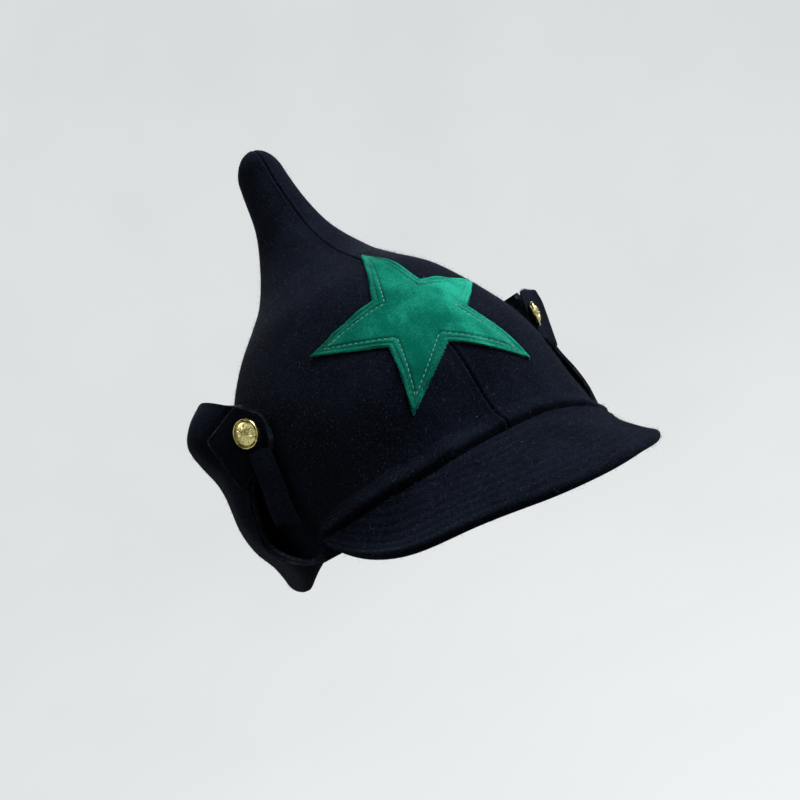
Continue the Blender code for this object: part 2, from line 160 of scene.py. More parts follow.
# Spike sections: heights above the dome as shares of the spike length,
# extents as shares of the spike radius
SPIKE_SECTIONS = (
    Section(0.19, 1.73, 3.23, 2.15, 1.98),
    Section(0.47, 0.93, 2.16, 1.41, 2.00),
    Section(0.76, 0.45, 1.76, 1.10, 2.00),
    Section(1.00, 0.40, 1.42, 0.93, 2.00),
)
BULGE_HEIGHT = DOME_SECTIONS[2].height * DOME_HEIGHT
INNER_TOP = DOME_HEIGHT + SPIKE_LENGTH
ROUNDING_START = INNER_TOP - TIP_ROUNDING

# How the worn visor is sewn and bent: share of its half span, height of its
# root line, shift of its outer edge
VisorFit = namedtuple("VisorFit", "share root edge")
VISOR_FITS = (
    VisorFit(-1.0, 0.0057, 0.0012),
    VisorFit(-0.8, 0.0060, 0.0012),
    VisorFit(-0.6, 0.0067, -0.0004),
    VisorFit(-0.4, 0.0069, -0.0002),
    VisorFit(-0.2, 0.0079, -0.0006),
    VisorFit(0.0, 0.0083, -0.0004),
    VisorFit(0.2, 0.0073, -0.0026),
    VisorFit(0.4, 0.0036, -0.0054),
    VisorFit(0.6, -0.0010, -0.0058),
    VisorFit(0.8, -0.0036, -0.0053),
    VisorFit(0.9, -0.0039, -0.0055),
    VisorFit(1.0, -0.0034, -0.0043),
)
# Section of the roll over the visor's seam, in shares of its height and depth,
# then its size, its gap, how it thins at its ends and how uneven it is
ROLL_SECTION = ((-0.22, -0.20), (-0.10, 0.38), (0.01, 0.78), (0.13, 1.00), (0.30, 0.95),
                (0.50, 0.68), (0.74, 0.30), (1.00, 0.00), (1.06, -0.28), (0.60, -0.34),
                (0.20, -0.34), (-0.22, -0.20))
ROLL_HEIGHT = 0.0078
ROLL_DEPTH = 0.0027
ROLL_BUNCHING = 0.25
ROLL_GAP = 0.0002
ROLL_END_POWER = 8
UNEVEN_HEIGHT = 0.05
UNEVEN_DEPTH = 0.08

# Visor: its gap to the crown, the place and the fading of its dip, the rounding
# of its edge in half thicknesses, and its stitched rings
VISOR_GAP = 0.0001
DIP_PLACE = 0.75
DIP_FADE = 0.40
VISOR_ROUNDING = 1.15
VISOR_RINGS = 11
RING_WIDTH = 0.00085
RING_SWELL = 0.00012
RING_SWELL_WIDTH = 0.0016
LOWER_RINGS = 0.7
RING_MARGIN = 0.002
SHORTEST_RING = 6
VISOR_THREAD = 0.00042
VISOR_STITCH_GAP = 0.0009
VISOR_STITCH_LIFT = 0.00005

# Neck guard, from its root under the rim down, round the fold and up the
# wings: heights of the fold as shares of its drop, heights of the rises as
# shares of the flap height
FLAP_DROPS = (0.40, 0.86, 1.00, 0.62, 0.00)
FLAP_RISES = (0.09, 0.20, 0.34, 0.48, 0.62, 0.74, 0.84, 0.93, 1.00)

# Sections of the guard: turn round the crown, top, depth of its fold, how far each row stands off
FlapStation = namedtuple("FlapStation", "turn top fold fold_stands stands")
BEHIND = FlapStation(140.0, 0.90, 0.12, (-0.12, -0.06, -0.02, 0.02, 0.06),
                     (0.14, 0.38, 0.57, 0.64, 0.67, 0.70, 0.70, 0.62, 0.46))
NAPE = FlapStation(180.0, 0.80, 0.12, (-0.12, 0.00, 0.06, 0.10, 0.14),
                   (0.20, 0.36, 0.50, 0.58, 0.60, 0.58, 0.56, 0.54, 0.50))
NEAR_STATIONS = (
    FlapStation(81.5, 1.01, 1.17, (-0.12, -0.02, 0.08, 0.17, 0.24),
                (0.46, 0.90, 1.10, 1.12, 1.20, 1.56, 1.72, 1.30, 0.66)),
    FlapStation(104.0, 0.99, 0.45, (-0.12, -0.12, -0.10, -0.08, -0.06),
                (0.08, 0.40, 0.64, 0.70, 0.74, 0.86, 0.92, 0.74, 0.42)),
    BEHIND,
    NAPE,
)
FAR_STATIONS = (
    FlapStation(84.0, 0.90, 0.85, (-0.12, 0.02, 0.26, 0.50, 0.62),
                (0.76, 0.92, 0.98, 0.98, 0.94, 0.84, 0.70, 0.54, 0.44)),
    FlapStation(104.0, 0.84, 0.50, (-0.12, 0.00, 0.12, 0.24, 0.34),
                (0.44, 0.52, 0.58, 0.60, 0.60, 0.58, 0.54, 0.48, 0.40)),
    BEHIND,
    NAPE,
)

# Front edges of the guard's wings, from the root to the top: turn, height and stand of each row
EdgeRow = namedtuple("EdgeRow", "turn height stand")
FRONT_KNOT = 72.0
NEAR_EDGE = (
    EdgeRow(61.3, 0.0046, -0.08), EdgeRow(62.7, 0.0023, 0.04), EdgeRow(64.1, 0.0009, 0.24),
    EdgeRow(66.2, 0.0010, 0.48), EdgeRow(68.4, 0.0025, 0.62), EdgeRow(70.7, 0.0051, 0.76),
    EdgeRow(74.4, 0.0097, 0.88), EdgeRow(76.8, 0.0162, 0.95), EdgeRow(76.3, 0.0266, 0.93),
    EdgeRow(75.3, 0.0376, 0.86), EdgeRow(73.0, 0.0486, 0.70), EdgeRow(71.5, 0.0580, 0.50),
    EdgeRow(69.5, 0.0658, 0.42), EdgeRow(68.0, 0.0728, 0.38), EdgeRow(67.0, 0.0775, 0.34),
)
FAR_EDGE = (
    EdgeRow(66.0, -0.0003, -0.08), EdgeRow(66.5, -0.0035, 0.08), EdgeRow(67.5, -0.0072, 0.28),
    EdgeRow(68.5, -0.0080, 0.50), EdgeRow(69.0, -0.0045, 0.60), EdgeRow(68.5, 0.0015, 0.62),
    EdgeRow(67.2, 0.0079, 0.66), EdgeRow(66.0, 0.0160, 0.72), EdgeRow(66.0, 0.0259, 0.74),
    EdgeRow(67.0, 0.0360, 0.70), EdgeRow(66.8, 0.0446, 0.66), EdgeRow(67.2, 0.0545, 0.62),
    EdgeRow(68.3, 0.0640, 0.60), EdgeRow(69.0, 0.0730, 0.58), EdgeRow(69.6, 0.0772, 0.54),
)

# Crown's rim: how far it lies under the visor's root, the turns over which it
# comes level, and how far, how high and over which turns it is drawn in
RIM_BELOW_ROOT = 0.0016
RIM_LEVEL_TURNS = (60.0, 76.0)
NAPE_TUCK = 0.0028
TUCK_TOP = 0.024
TUCK_TURNS = (76.0, 98.0)

# Guard's plies: faces along and up, how many degrees the inner ply's far and
# near edges stand forward and over which heights, how near the plies come over
# the last columns at their front edges, how closely columns are bunched there,
# and how far the root covers the rim
GUARD_GRID = (240, 96)
INNER_PLY_AHEAD = (-9.0, 1.1)
AHEAD_START = (0.0, 0.01)
AHEAD_END = (0.07, 0.05)
EDGE_CLOSENESS = 0.72
EDGE_COLUMNS = 9
STATION_BUNCHING = 1.4
RIM_COVER = 0.0003

# Star corners as the patch was cut: metres across and up from its centre,
# point and notch in turn
STAR_CORNERS = (
    (0.00299, 0.05463), (-0.01389, 0.01635), (-0.04996, 0.01166), (-0.02251, -0.00998),
    (-0.02995, -0.04325), (-0.00069, -0.02140), (0.03160, -0.04169), (0.02038, -0.00629),
    (0.04360, 0.01494), (0.01210, 0.01829),
)

# Each buttoned end: its side, how far its button sits towards the crown's
# front, up and out from the pattern, how many degrees it faces up and is tilted
# on its shank, and the corners of its lappet, across towards the front and up
# from the button
ButtonedEnd = namedtuple("ButtonedEnd", "side across up out lean tilt corners")
BUTTONED_ENDS = {
    "right": ButtonedEnd(-1.0, 0.0021, 0.0001, 0.0, 0.0, 12.0, (
        (-0.0206, 0.0065), (-0.0004, 0.0138), (0.0085, 0.0052), (0.0096, -0.0072),
        (0.0060, -0.0112), (-0.0159, -0.0206))),
    "left": ButtonedEnd(1.0, 0.0043, -0.0022, 0.0016, -10.0, 17.0, (
        (-0.0246, 0.0072), (-0.0208, 0.0144), (-0.0020, 0.0146), (0.0038, 0.0068),
        (0.0048, -0.0058), (-0.0123, -0.0156), (-0.0245, -0.0188))),
}

# Lappets: the rounding of their corners, their gap to what lies under them,
# their curl and where it sets in, and how they are padded and spaced. The guard
# is pressed down under them, less and less past their rim.
LAPPET_ROUNDING = 0.0016
LAPPET_GAP = 0.0004
LAPPET_CURL = 0.0006
LAPPET_CURL_REACH = (0.008, 0.020)
LAPPET_PILLOW = 0.0004
LAPPET_SPARE = 1.3
LAPPET_MIDDLE = 0.02
LAPPET_BORDER = 0.955
PRESSED_WITHIN = 0.02
PRESS_FADE = (0.98, 1.35)
RIM_HAIR_ROOTS = 0.985
RIM_HAIR_AIM = 1.08
BUTTON_GAP = 0.0003
FOLD_BEVEL = 0.0005

# Each tongue inside its wing: degrees that it hangs further back than its
# pattern, and the share of its swing away from the crown, then the shape that
# both have
TongueFit = namedtuple("TongueFit", "back swing")
TONGUE_FITS = {"right": TongueFit(-2.0, 1.0), "left": TongueFit(6.0, 0.4)}
TONGUE_LEAN = 0.0028
TONGUE_BOW = 0.0018
TONGUE_HEM = 0.0005
TONGUE_GAP = 0.0006
TONGUE_ABOVE = 0.007
TONGUE_EXTRA = 0.006
TONGUE_SLIMNESS = 0.80
TONGUE_HEM_PLACE = (0.60, 0.74)
TONGUE_TIP_PLACE = (0.7, 1.0)
TIP_SLANT = 0.0014
TIP_ROUND = 0.0010

# Button profile, and the sizes of its rosette: radii, lengths and widths as
# shares of its radius, heights in metres
BUTTON_PROFILE = (
    (0.30, -0.0012), (0.80, -0.0006), (0.97, 0.0), (1.00, 0.0005), (1.00, 0.0013), (0.985, 0.0017),
    (0.955, 0.0019), (0.925, 0.0017), (0.905, 0.0010), (0.88, 0.0006), (0.845, 0.0007),
    (0.81, 0.0012), (0.76, 0.0017), (0.66, 0.0021), (0.48, 0.0025), (0.30, 0.0027), (0.10, 0.0028),
)
BUTTON_LIFT = 0.0008
BRASS_SHARE = 0.97
BRASS_BEVEL = 0.00012
PETALS = 8
PETAL_LENGTH = 0.23
PETAL_WIDTH = 0.100
PETAL_RING = 0.40
PETAL_SLOPE = 0.22
BOSS_RADIUS = 0.13
RELIEF = 0.0006
PETAL_HEIGHT = 0.0025
BOSS_HEIGHT = 0.0029

# Hairs: spread of their lean, the flattest lean, their lengths and widths as
# shares of the size asked for, and how far their tips are pulled aside
LEAN_SPREAD = 0.12
FLATTEST = 0.97
HAIR_LENGTHS = (0.45, 1.35)
HAIR_WIDTHS = (0.7, 1.3)
TIP_PULL = 0.30
STRAY_LIE = 0.62

# Hairs of the cut edges
EDGE_HAIR_THICKNESS = 0.00009
EDGE_HAIR_LIE = 0.45
FELT_HAIR_LENGTH = 0.0011
VELVET_HAIR_LENGTH = 0.0005
LAPPET_HAIRS = 2600
FRINGE_SPACING = 0.00018
FRINGE_SPREAD = 0.00012

# Camera of the picture: place, azimuth, elevation and roll, with the image
# taken to be 800 pixels square
CAMERA_PLACE = Vector((-0.14961, -0.35851, 0.00102))
CAMERA_AZIMUTH = math.radians(-23.31)
CAMERA_ELEVATION = math.radians(-7.14)
CAMERA_ROLL = math.radians(27.68)
CAMERA_LENS = 33.4
CAMERA_SHIFT = (1.5 / 800, 12 / 800)


# Curves and the crown's surface

def smooth_curve(knots, values, places):
    """Smooth curve through the knots read at each place, one row of values a knot."""
    knots = np.asarray(knots, float)
    values = np.asarray(values, float)
    places = np.clip(np.asarray(places, float), knots[0], knots[-1])
    k = np.clip(np.searchsorted(knots, places, side="right") - 1, 0, len(knots) - 2)
    low = np.maximum(np.arange(len(knots)) - 1, 0)
    high = np.minimum(np.arange(len(knots)) + 1, len(knots) - 1)
    extra = (1,) * (values.ndim - 1)
    slopes = (values[high] - values[low]) / (knots[high] - knots[low]).reshape(-1, *extra)
    span = (knots[k + 1] - knots[k]).reshape(places.shape + extra)
    t = (places - knots[k]).reshape(places.shape + extra) / span
    blend = t * t * (3 - 2 * t)
    rise = span * t * (1 - t)
    return (values[k] * (1 - blend) + values[k + 1] * blend
            + slopes[k] * rise * (1 - t) - slopes[k + 1] * rise * t)


def signed_power(value, power):
    """Power of a value's size, with the value's own sign."""
    return np.sign(value) * np.abs(value) ** power


def bell(distance, width):
    """1 at no distance, fading over the width."""
    return np.exp(-(distance / width) ** 2)


def ramp(value, start, end):
    """0 before start, 1 after end, eased between them."""
    t = np.clip((value - start) / (end - start), 0.0, 1.0)
    return t * t * (3 - 2 * t)


def unit(vectors):
    """Vectors of length 1 in the same directions."""
    lengths = np.linalg.norm(vectors, axis=-1, keepdims=True)
    return vectors / np.maximum(lengths, 1e-12)


def crown_levels():
    """Heights of the crown's sections, and each one's extents and squareness."""
    half = np.array((HEAD_LENGTH / 2, HEAD_LENGTH / 2, HEAD_WIDTH / 2, 1.0))
    heights = [s.height * DOME_HEIGHT for s in DOME_SECTIONS]
    shapes = [np.array(s[1:]) * half for s in DOME_SECTIONS]
    half = np.array((SPIKE_RADIUS, SPIKE_RADIUS, SPIKE_RADIUS, 1.0))
    heights += [DOME_HEIGHT + s.height * SPIKE_LENGTH for s in SPIKE_SECTIONS]
    shapes += [np.array(s[1:]) * half for s in SPIKE_SECTIONS]
    return np.array(heights), np.array(shapes)


LEVELS, SHAPES = crown_levels()


def section(z):
    """Inner section at each height: centre y, half length, half width, squareness."""
    front, back, side, squareness = np.moveaxis(smooth_curve(LEVELS, SHAPES, z), -1, 0)
    over = np.clip((np.asarray(z) - ROUNDING_START) / TIP_ROUNDING, 0.0, 1.0)
    closing = np.sqrt(1 - over ** 2)
    return (back - front) / 2, (front + back) / 2 * closing, side * closing, squareness


def inner_point(z, turn):
    """Points of the crown's inner surface."""
    z, turn = np.broadcast_arrays(np.asarray(z, float), np.asarray(turn, float))
    centre, half, side, power = section(z)
    angle = np.radians(turn)
    x = side * signed_power(np.sin(angle), 2 / power)
    y = centre - half * signed_power(np.cos(angle), 2 / power)
    return np.stack((x, y, z), axis=-1)


def normal_at(z, turn):
    """Outward normals of the crown."""
    z = np.asarray(z, float)
    turn = np.asarray(turn, float)
    along = inner_point(z + PROBE_RISE, turn) - inner_point(z - PROBE_RISE, turn)
    around = inner_point(z, turn + PROBE_TURN) - inner_point(z, turn - PROBE_TURN)
    return unit(np.cross(around, along))


def level_normal(z, turn):
    """Outward normals of the crown, laid level."""
    n = normal_at(z, turn)
    n[..., 2] = 0.0
    return unit(n)


def slack(z, turn):
    """Soft dents and swells of the worn felt, -1 to 1."""
    a = np.radians(turn)
    waves = (np.sin(3 * a + 38 * z + 0.4) * np.sin(52 * z - 2 * a + 1.3)
             + 0.6 * np.sin(5 * a - 61 * z + 0.7) * np.sin(33 * z + 2.0)
             + 0.35 * np.sin(94 * z + 7 * a + 2.1))
    kept = DENTS_LEFT + (1 - DENTS_LEFT) * ramp(z, *DENTS_FADE)
    return waves / 1.6 * ramp(z, *DENTS_START) * kept


def tuck(z, turn):
    """How far the rim is drawn in under the neck guard."""
    away = np.abs((turn + 180.0) % 360.0 - 180.0)
    return NAPE_TUCK * (1 - ramp(z, 0.0, TUCK_TOP)) * ramp(away, *TUCK_TURNS)


def outer_point(z, turn, out=0.0):
    """Points a distance outside the crown's felt, dents included."""
    z = np.asarray(z, float)
    turn = np.asarray(turn, float)
    depth = bpy.context.scene.cap_crown.slack
    lift = np.asarray(FELT + out + depth * slack(z, turn) - tuck(z, turn))
    return inner_point(z, turn) + normal_at(z, turn) * lift[..., None]


def plain_point(z, turn, out=0.0):
    """Points a distance outside the crown's felt as it was cut, with no dents."""
    return inner_point(z, turn) + normal_at(z, turn) * np.asarray(FELT + out)[..., None]


def turn_of(points):
    """Height and turn of points near the crown."""
    z = np.clip(points[..., 2], 0.0, INNER_TOP)
    centre, half, side, _ = section(z)
    half = np.maximum(half, 1e-5)
    side = np.maximum(side, 1e-5)
    return z, np.degrees(np.arctan2(points[..., 0] / side, (centre - points[..., 1]) / half))


def outside_by(points):
    """Rough distance of points outside the crown's felt as it was cut."""
    z, turn = turn_of(points)
    centre, half, side, power = section(z)
    x, y = points[..., 0], points[..., 1] - centre
    ratio = (np.abs(x / np.maximum(side, 1e-5)) ** power
             + np.abs(y / np.maximum(half, 1e-5)) ** power) ** (1 / power)
    lean = normal_at(np.maximum(z, FELT), turn)[..., 2]
    return np.hypot(x, y) * (1 - 1 / np.maximum(ratio, 0.01)) * np.sqrt(1 - lean ** 2) - FELT


def reach_surface(starts, directions, out):
    """Walk from each start to the surface that lies out of the felt."""
    near = np.zeros(starts.shape[:-1])
    far = np.full(starts.shape[:-1], HEAD_LENGTH)
    for _ in range(WALK_HALVINGS):
        middle = (near + far) / 2
        free = outside_by(starts + directions * middle[..., None]) > out
        near = np.where(free, middle, near)
        far = np.where(free, far, middle)
    return starts + directions * near[..., None]


def edge_height(turn):
    """Height of the crown's cut edge: it follows the visor's root and is level behind it."""
    side = (turn + 180.0) % 360.0 - 180.0
    root, _ = visor_fit(np.clip(side / VISOR_TURN, -1.0, 1.0))
    return (root - RIM_BELOW_ROOT) * (1 - ramp(np.abs(side), *RIM_LEVEL_TURNS))


# Working on pieces

def deselect_all():
    """Leaves edit mode and selects nothing."""
    if bpy.context.object is not None and bpy.context.object.mode != "OBJECT":
        bpy.ops.object.mode_set(mode="OBJECT")
    bpy.ops.object.select_all(action="DESELECT")


def take(piece):
    """Makes a piece the only one selected."""
    deselect_all()
    piece.select_set(True)
    bpy.context.view_layer.objects.active = piece


def select_vertices(piece, wanted):
    """Opens a piece in edit mode with only the wanted vertices selected."""
    take(piece)
    bpy.ops.object.mode_set(mode="EDIT")
    bpy.ops.mesh.select_mode(type="VERT")
    bpy.ops.mesh.select_all(action="DESELECT")
    bpy.ops.object.mode_set(mode="OBJECT")
    piece.data.vertices.foreach_set("select", np.asarray(wanted, bool))
    bpy.ops.object.mode_set(mode="EDIT")


def new_cloth(name, columns, rows):
    """Flat cloth of that many faces, ready to be laid on a shape."""
    deselect_all()
    bpy.ops.mesh.primitive_grid_add(x_subdivisions=columns, y_subdivisions=rows, size=1.0)
    piece = bpy.context.object
    piece.name = name
    piece.data.name = name
    return piece


def lay(piece, points):
    """Puts a piece's vertices at the points, in order."""
    piece.data.vertices.foreach_set("co", np.asarray(points, np.float32).reshape(-1))
    piece.data.update()


def corners_of(piece):
    """A piece's vertices, one row each."""
    points = np.empty(len(piece.data.vertices) * 3, np.float32)
    piece.data.vertices.foreach_get("co", points)
    return points.reshape(-1, 3).astype(float)


def grid_normals(points):
    """Outward normals of a laid grid of points."""
    across = np.gradient(points, axis=1)
    along = np.gradient(points, axis=0)
    return unit(np.cross(across, along))


def finish_with(piece, kind, **settings):
    """Adds a modifier with those settings and applies it."""
    take(piece)
    modifier = piece.modifiers.new(kind.title(), kind)
    for name, value in settings.items():
        setattr(modifier, name, value)
    bpy.ops.object.modifier_apply(modifier=modifier.name)


def sew_edges(piece, distance=0.00002, fill=False):
    """Merges vertices that meet, closes open ends and turns all faces outwards."""
    take(piece)
    bpy.ops.object.mode_set(mode="EDIT")
    bpy.ops.mesh.select_all(action="SELECT")
    bpy.ops.mesh.remove_doubles(threshold=distance)
    if fill:
        bpy.ops.mesh.fill_holes(sides=0)
        bpy.ops.mesh.select_all(action="SELECT")
    bpy.ops.mesh.normals_make_consistent(inside=False)
    bpy.ops.object.mode_set(mode="OBJECT")


def sew_ring(piece, distance=0.000015):
    """Merges the seam of a ring and leaves its rim and its middle open."""
    take(piece)
    bpy.ops.object.mode_set(mode="EDIT")
    bpy.ops.mesh.select_all(action="SELECT")
    bpy.ops.mesh.remove_doubles(threshold=distance)
    bpy.ops.object.mode_set(mode="OBJECT")


def mark_faces(piece, slot, wanted):
    """Gives the wanted faces the material in that slot."""
    slots = np.where(wanted, slot, 0).astype(np.int32)
    piece.data.polygons.foreach_set("material_index", slots)


def round_look(piece, angle=50.0):
    """Shades a piece smooth but for edges sharper than the angle."""
    take(piece)
    bpy.ops.object.shade_smooth_by_angle(angle=math.radians(angle))


def give(piece, slot, *materials):
    """Gives a piece its materials, if it has none, and fixes it to its body; the slot is not used.
    """
    if not piece.data.materials:
        for material in materials:
            piece.data.materials.append(material)
    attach(piece, "root")


def joined_copies(name, template, places, frames, scales=None):
    """One mesh of copies of a template, each turned to its frame and moved to its place."""
    shape = corners_of(template)
    faces = [tuple(p.vertices) for p in template.data.polygons]
    count = len(places)
    frames = np.asarray(frames, float)
    scales = np.ones((count, 3)) if scales is None else np.asarray(scales, float)
    scaled = shape[None] * scales[:, None, :]
    points = np.einsum("nvi,nij->nvj", scaled, frames) + np.asarray(places)[:, None, :]
    sizes = np.array([len(f) for f in faces])
    loops = np.concatenate([np.array(f) for f in faces])
    step = len(shape)
    all_loops = (loops[None] + np.arange(count)[:, None] * step).reshape(-1)
    all_sizes = np.tile(sizes, count)
    mesh = bpy.data.meshes.new(name)
    mesh.vertices.add(count * step)
    mesh.vertices.foreach_set("co", points.astype(np.float32).reshape(-1))
    mesh.loops.add(len(all_loops))
    mesh.loops.foreach_set("vertex_index", all_loops.astype(np.int32))
    mesh.polygons.add(len(all_sizes))
    starts = np.concatenate(([0], np.cumsum(all_sizes)[:-1]))
    mesh.polygons.foreach_set("loop_start", starts.astype(np.int32))
    mesh.update(calc_edges=True)
    mesh.shade_smooth()
    piece = bpy.data.objects.new(name, mesh)
    bpy.context.scene.collection.objects.link(piece)
    return piece


def discard(piece):
    """Removes a piece with its mesh."""
    bpy.data.meshes.remove(piece.data)


def turned(name, sides, profile):
    """Closed piece turned round Z: each ring is extruded from the one before."""
    deselect_all()
    radius, height = profile[0]
    bpy.ops.mesh.primitive_circle_add(vertices=sides, radius=radius, fill_type="NGON")
    piece = bpy.context.object
    piece.name = name
    bpy.ops.object.mode_set(mode="EDIT")
    bpy.ops.mesh.select_all(action="SELECT")
    bpy.ops.transform.translate(value=(0.0, 0.0, height))
    for following_radius, following_height in profile[1:]:
        bpy.ops.mesh.extrude_region_move(
            TRANSFORM_OT_translate={"value": (0.0, 0.0, following_height - height)})
        share = following_radius / radius
        bpy.ops.transform.resize(value=(share, share, 1.0), center_override=(0.0, 0.0, 0.0))
        radius, height = following_radius, following_height
    bpy.ops.mesh.select_all(action="SELECT")
    bpy.ops.mesh.normals_make_consistent(inside=False)
    bpy.ops.object.mode_set(mode="OBJECT")
    return piece


# Thread, hairs and cut edges

def thread_stitch():
    """One stitch of unit length and radius along X, rounded at both ends."""
    shoulder = 0.3
    end_width = 0.45
    end_sink = 0.75
    deselect_all()
    bpy.ops.mesh.primitive_cylinder_add(vertices=6, radius=1.0, depth=1.0, end_fill_type="NGON",
                                        rotation=(0.0, math.pi / 2, 0.0))
    bpy.ops.object.transform_apply(location=False, rotation=True, scale=False)
    stitch = bpy.context.object
    bpy.ops.object.mode_set(mode="EDIT")
    for place in (-shoulder, shoulder):
        bpy.ops.mesh.select_all(action="SELECT")
        bpy.ops.mesh.bisect(plane_co=(place, 0.0, 0.0), plane_no=(1.0, 0.0, 0.0))
    bpy.ops.object.mode_set(mode="OBJECT")
    points = corners_of(stitch)
    ends = np.abs(points[:, 0]) > (shoulder + 0.5) / 2
    points[ends, 1:] *= end_width
    points[ends, 2] -= end_sink
    lay(stitch, points)
    return stitch


def read_run(run, rows, place):
    """Row read at a distance along a run."""
    return np.array([np.interp(place, run, rows[:, i]) for i in range(3)])


def place_stitches(name, runs, thickness, length, gap, slot, material):
    """Run stitches along paths; a run holds points and the surface normals there."""
    places, frames, scales = [], [], []
    for points, normals in runs:
        steps = np.linalg.norm(np.diff(points, axis=0), axis=1)
        run = np.concatenate(([0.0], np.cumsum(steps)))
        starts = np.arange(gap, run[-1] - length * 0.6, length + gap)
        for start in starts:
            a = read_run(run, points, start)
            b = read_run(run, points, start + length)
            n = read_run(run, normals, start + length / 2)
            x = unit(b - a)
            z = unit(n - x * n.dot(x))
            places.append(read_run(run, points, start + length / 2))
            frames.append((x, np.cross(z, x), z))
            scales.append((np.linalg.norm(b - a), thickness / 2, thickness / 2))
    template = thread_stitch()
    piece = joined_copies(name, template, places, frames, scales)
    discard(template)
    give(piece, slot, material)
    return piece


def hair_template():
    """One short tapering hair of unit length and radius along Z."""
    deselect_all()
    bpy.ops.mesh.primitive_cone_add(vertices=3, radius1=1.0, radius2=0.25, depth=1.0,
                                    end_fill_type="NOTHING", location=(0.0, 0.0, 0.5))
    bpy.ops.object.transform_apply(location=True, rotation=False, scale=False)
    return bpy.context.object


def scatter(piece, count, seed, wanted=None):
    """Random places on a piece's faces, with the normals there."""
    mesh = piece.data
    mesh.calc_loop_triangles()
    corners = np.empty(len(mesh.loop_triangles) * 3, np.int32)
    mesh.loop_triangles.foreach_get("vertices", corners)
    points = corners_of(piece)[corners.reshape(-1, 3)]
    cross = np.cross(points[:, 1] - points[:, 0], points[:, 2] - points[:, 0])
    weight = np.linalg.norm(cross, axis=1)
    normals = unit(cross)
    if wanted is not None:
        weight = weight * wanted(points.mean(axis=1), normals)
    chance = np.random.default_rng(seed)
    picked = chance.choice(len(points), count, p=weight / weight.sum())
    a, b = chance.random((2, count))
    over = a + b > 1
    a[over], b[over] = 1 - a[over], 1 - b[over]
    corner = points[picked]
    places = (corner[:, 0] + (corner[:, 1] - corner[:, 0]) * a[:, None]
              + (corner[:, 2] - corner[:, 0]) * b[:, None])
    return places, normals[picked]


def add_hairs(name, places, normals, length, thickness, lie, seed, slot, material):
    """Hairs rooted at the places: lie 0 stands them up, 1 lays them flat."""
    chance = np.random.default_rng(seed)
    count = len(places)
    loose = unit(chance.normal(size=(count, 3)))
    flat = unit(loose - normals * np.sum(loose * normals, axis=1, keepdims=True))
    lean = np.clip(lie + chance.normal(scale=LEAN_SPREAD, size=count), 0.0, FLATTEST)[:, None]
    z = unit(normals * (1 - lean) + flat * lean)
    x = unit(np.cross(z, normals + loose * 0.01))
    frames = np.stack((x, np.cross(z, x), z), axis=1)
    lengths = length * chance.uniform(*HAIR_LENGTHS, count)
    radius = thickness / 2 * chance.uniform(*HAIR_WIDTHS, count)
    scales = np.stack((radius, radius, lengths), axis=1)
    template = hair_template()
    piece = joined_copies(name, template, places - normals * thickness, frames, scales)
    step = len(template.data.vertices)
    points = corners_of(piece).reshape(count, step, 3)
    along = corners_of(template)[:, 2]
    pull = chance.normal(size=(count, 3)) * TIP_PULL * lengths[:, None]
    points += pull[:, None, :] * (along ** 2)[None, :, None]
    lay(piece, points)
    tone = piece.data.attributes.new("tone", "FLOAT", "POINT")
    tone.data.foreach_set("value", np.repeat(chance.random(count), step).astype(np.float32))
    discard(template)
    give(piece, slot, material)
    return piece


# Shader maths

def connect(socket, value):
    """Links a value to a socket, or sets the socket to a number or colour."""
    if isinstance(value, Value):
        socket.node.id_data.links.new(value.socket, socket)
    else:
        socket.default_value = value


class Value:
    """What a node puts out; sums and products of it add Math nodes."""

    def __init__(self, socket):
        self.socket = socket

    def maths(self, operation, *numbers):
        node = self.socket.node.id_data.nodes.new("ShaderNodeMath")
        node.operation = operation
        for socket, number in zip(node.inputs, numbers):
            connect(socket, number)
        return Value(node.outputs[0])

    def __add__(self, other):
        return self.maths("ADD", self, other)

    def __radd__(self, other):
        return self.maths("ADD", other, self)

    def __sub__(self, other):
        return self.maths("SUBTRACT", self, other)

    def __rsub__(self, other):
        return self.maths("SUBTRACT", other, self)

    def __mul__(self, other):
        return self.maths("MULTIPLY", self, other)

    def __rmul__(self, other):
        return self.maths("MULTIPLY", other, self)

    def larger(self, other):
        return self.maths("MAXIMUM", self, other)


class Finish:
    """A material being made; add puts in one node and gives its output."""

    def __init__(self, name):
        self.material = bpy.data.materials.new(name)
        self.material.use_nodes = True
        self.tree = self.material.node_tree
        self.shader = self.tree.nodes["Principled BSDF"]

    def add(self, kind, settings, sockets, output=0):
        node = self.tree.nodes.new(kind)
        for name, value in settings.items():
            setattr(node, name, value)
        for name, value in sockets.items():
            connect(node.inputs[name], value)
        return Value(node.outputs[output])

    def set(self, sockets):
        for name, value in sockets.items():
            connect(self.shader.inputs[name], value)

    def place(self):
        return self.add("ShaderNodeTexCoord", {}, {}, "Object")

    def turned(self, place, angles, scale):
        rotation = tuple(math.radians(a) for a in angles)
        return self.add("ShaderNodeMapping", {}, {
            "Vector": place, "Rotation": rotation, "Scale": scale})

    def noise(self, place, scale, detail=2.0, rough=0.5, swirl=0.0):
        return self.add("ShaderNodeTexNoise", {}, {
            "Vector": place, "Scale": scale, "Detail": detail, "Roughness": rough,
            "Distortion": swirl})

    def span(self, value, low, high):
        """0 under low, 1 over high, eased between."""
        return self.add("ShaderNodeMapRange", {"interpolation_type": "SMOOTHSTEP"}, {
            "Value": value, "From Min": low, "From Max": high})

    def mix(self, share, first, second):
        node = self.tree.nodes.new("ShaderNodeMix")
        node.data_type = "RGBA"
        connect(node.inputs[0], share)
        connect(node.inputs[6], first)
        connect(node.inputs[7], second)
        return Value(node.outputs[2])

    def relief(self, height, strength, depth):
        bump = self.add("ShaderNodeBump", {}, {
            "Height": height, "Strength": strength, "Distance": depth})
        self.set({"Normal": bump})


def rgb(colour):
    """A colour with full alpha, as sockets take it."""
    return (*colour, 1.0)


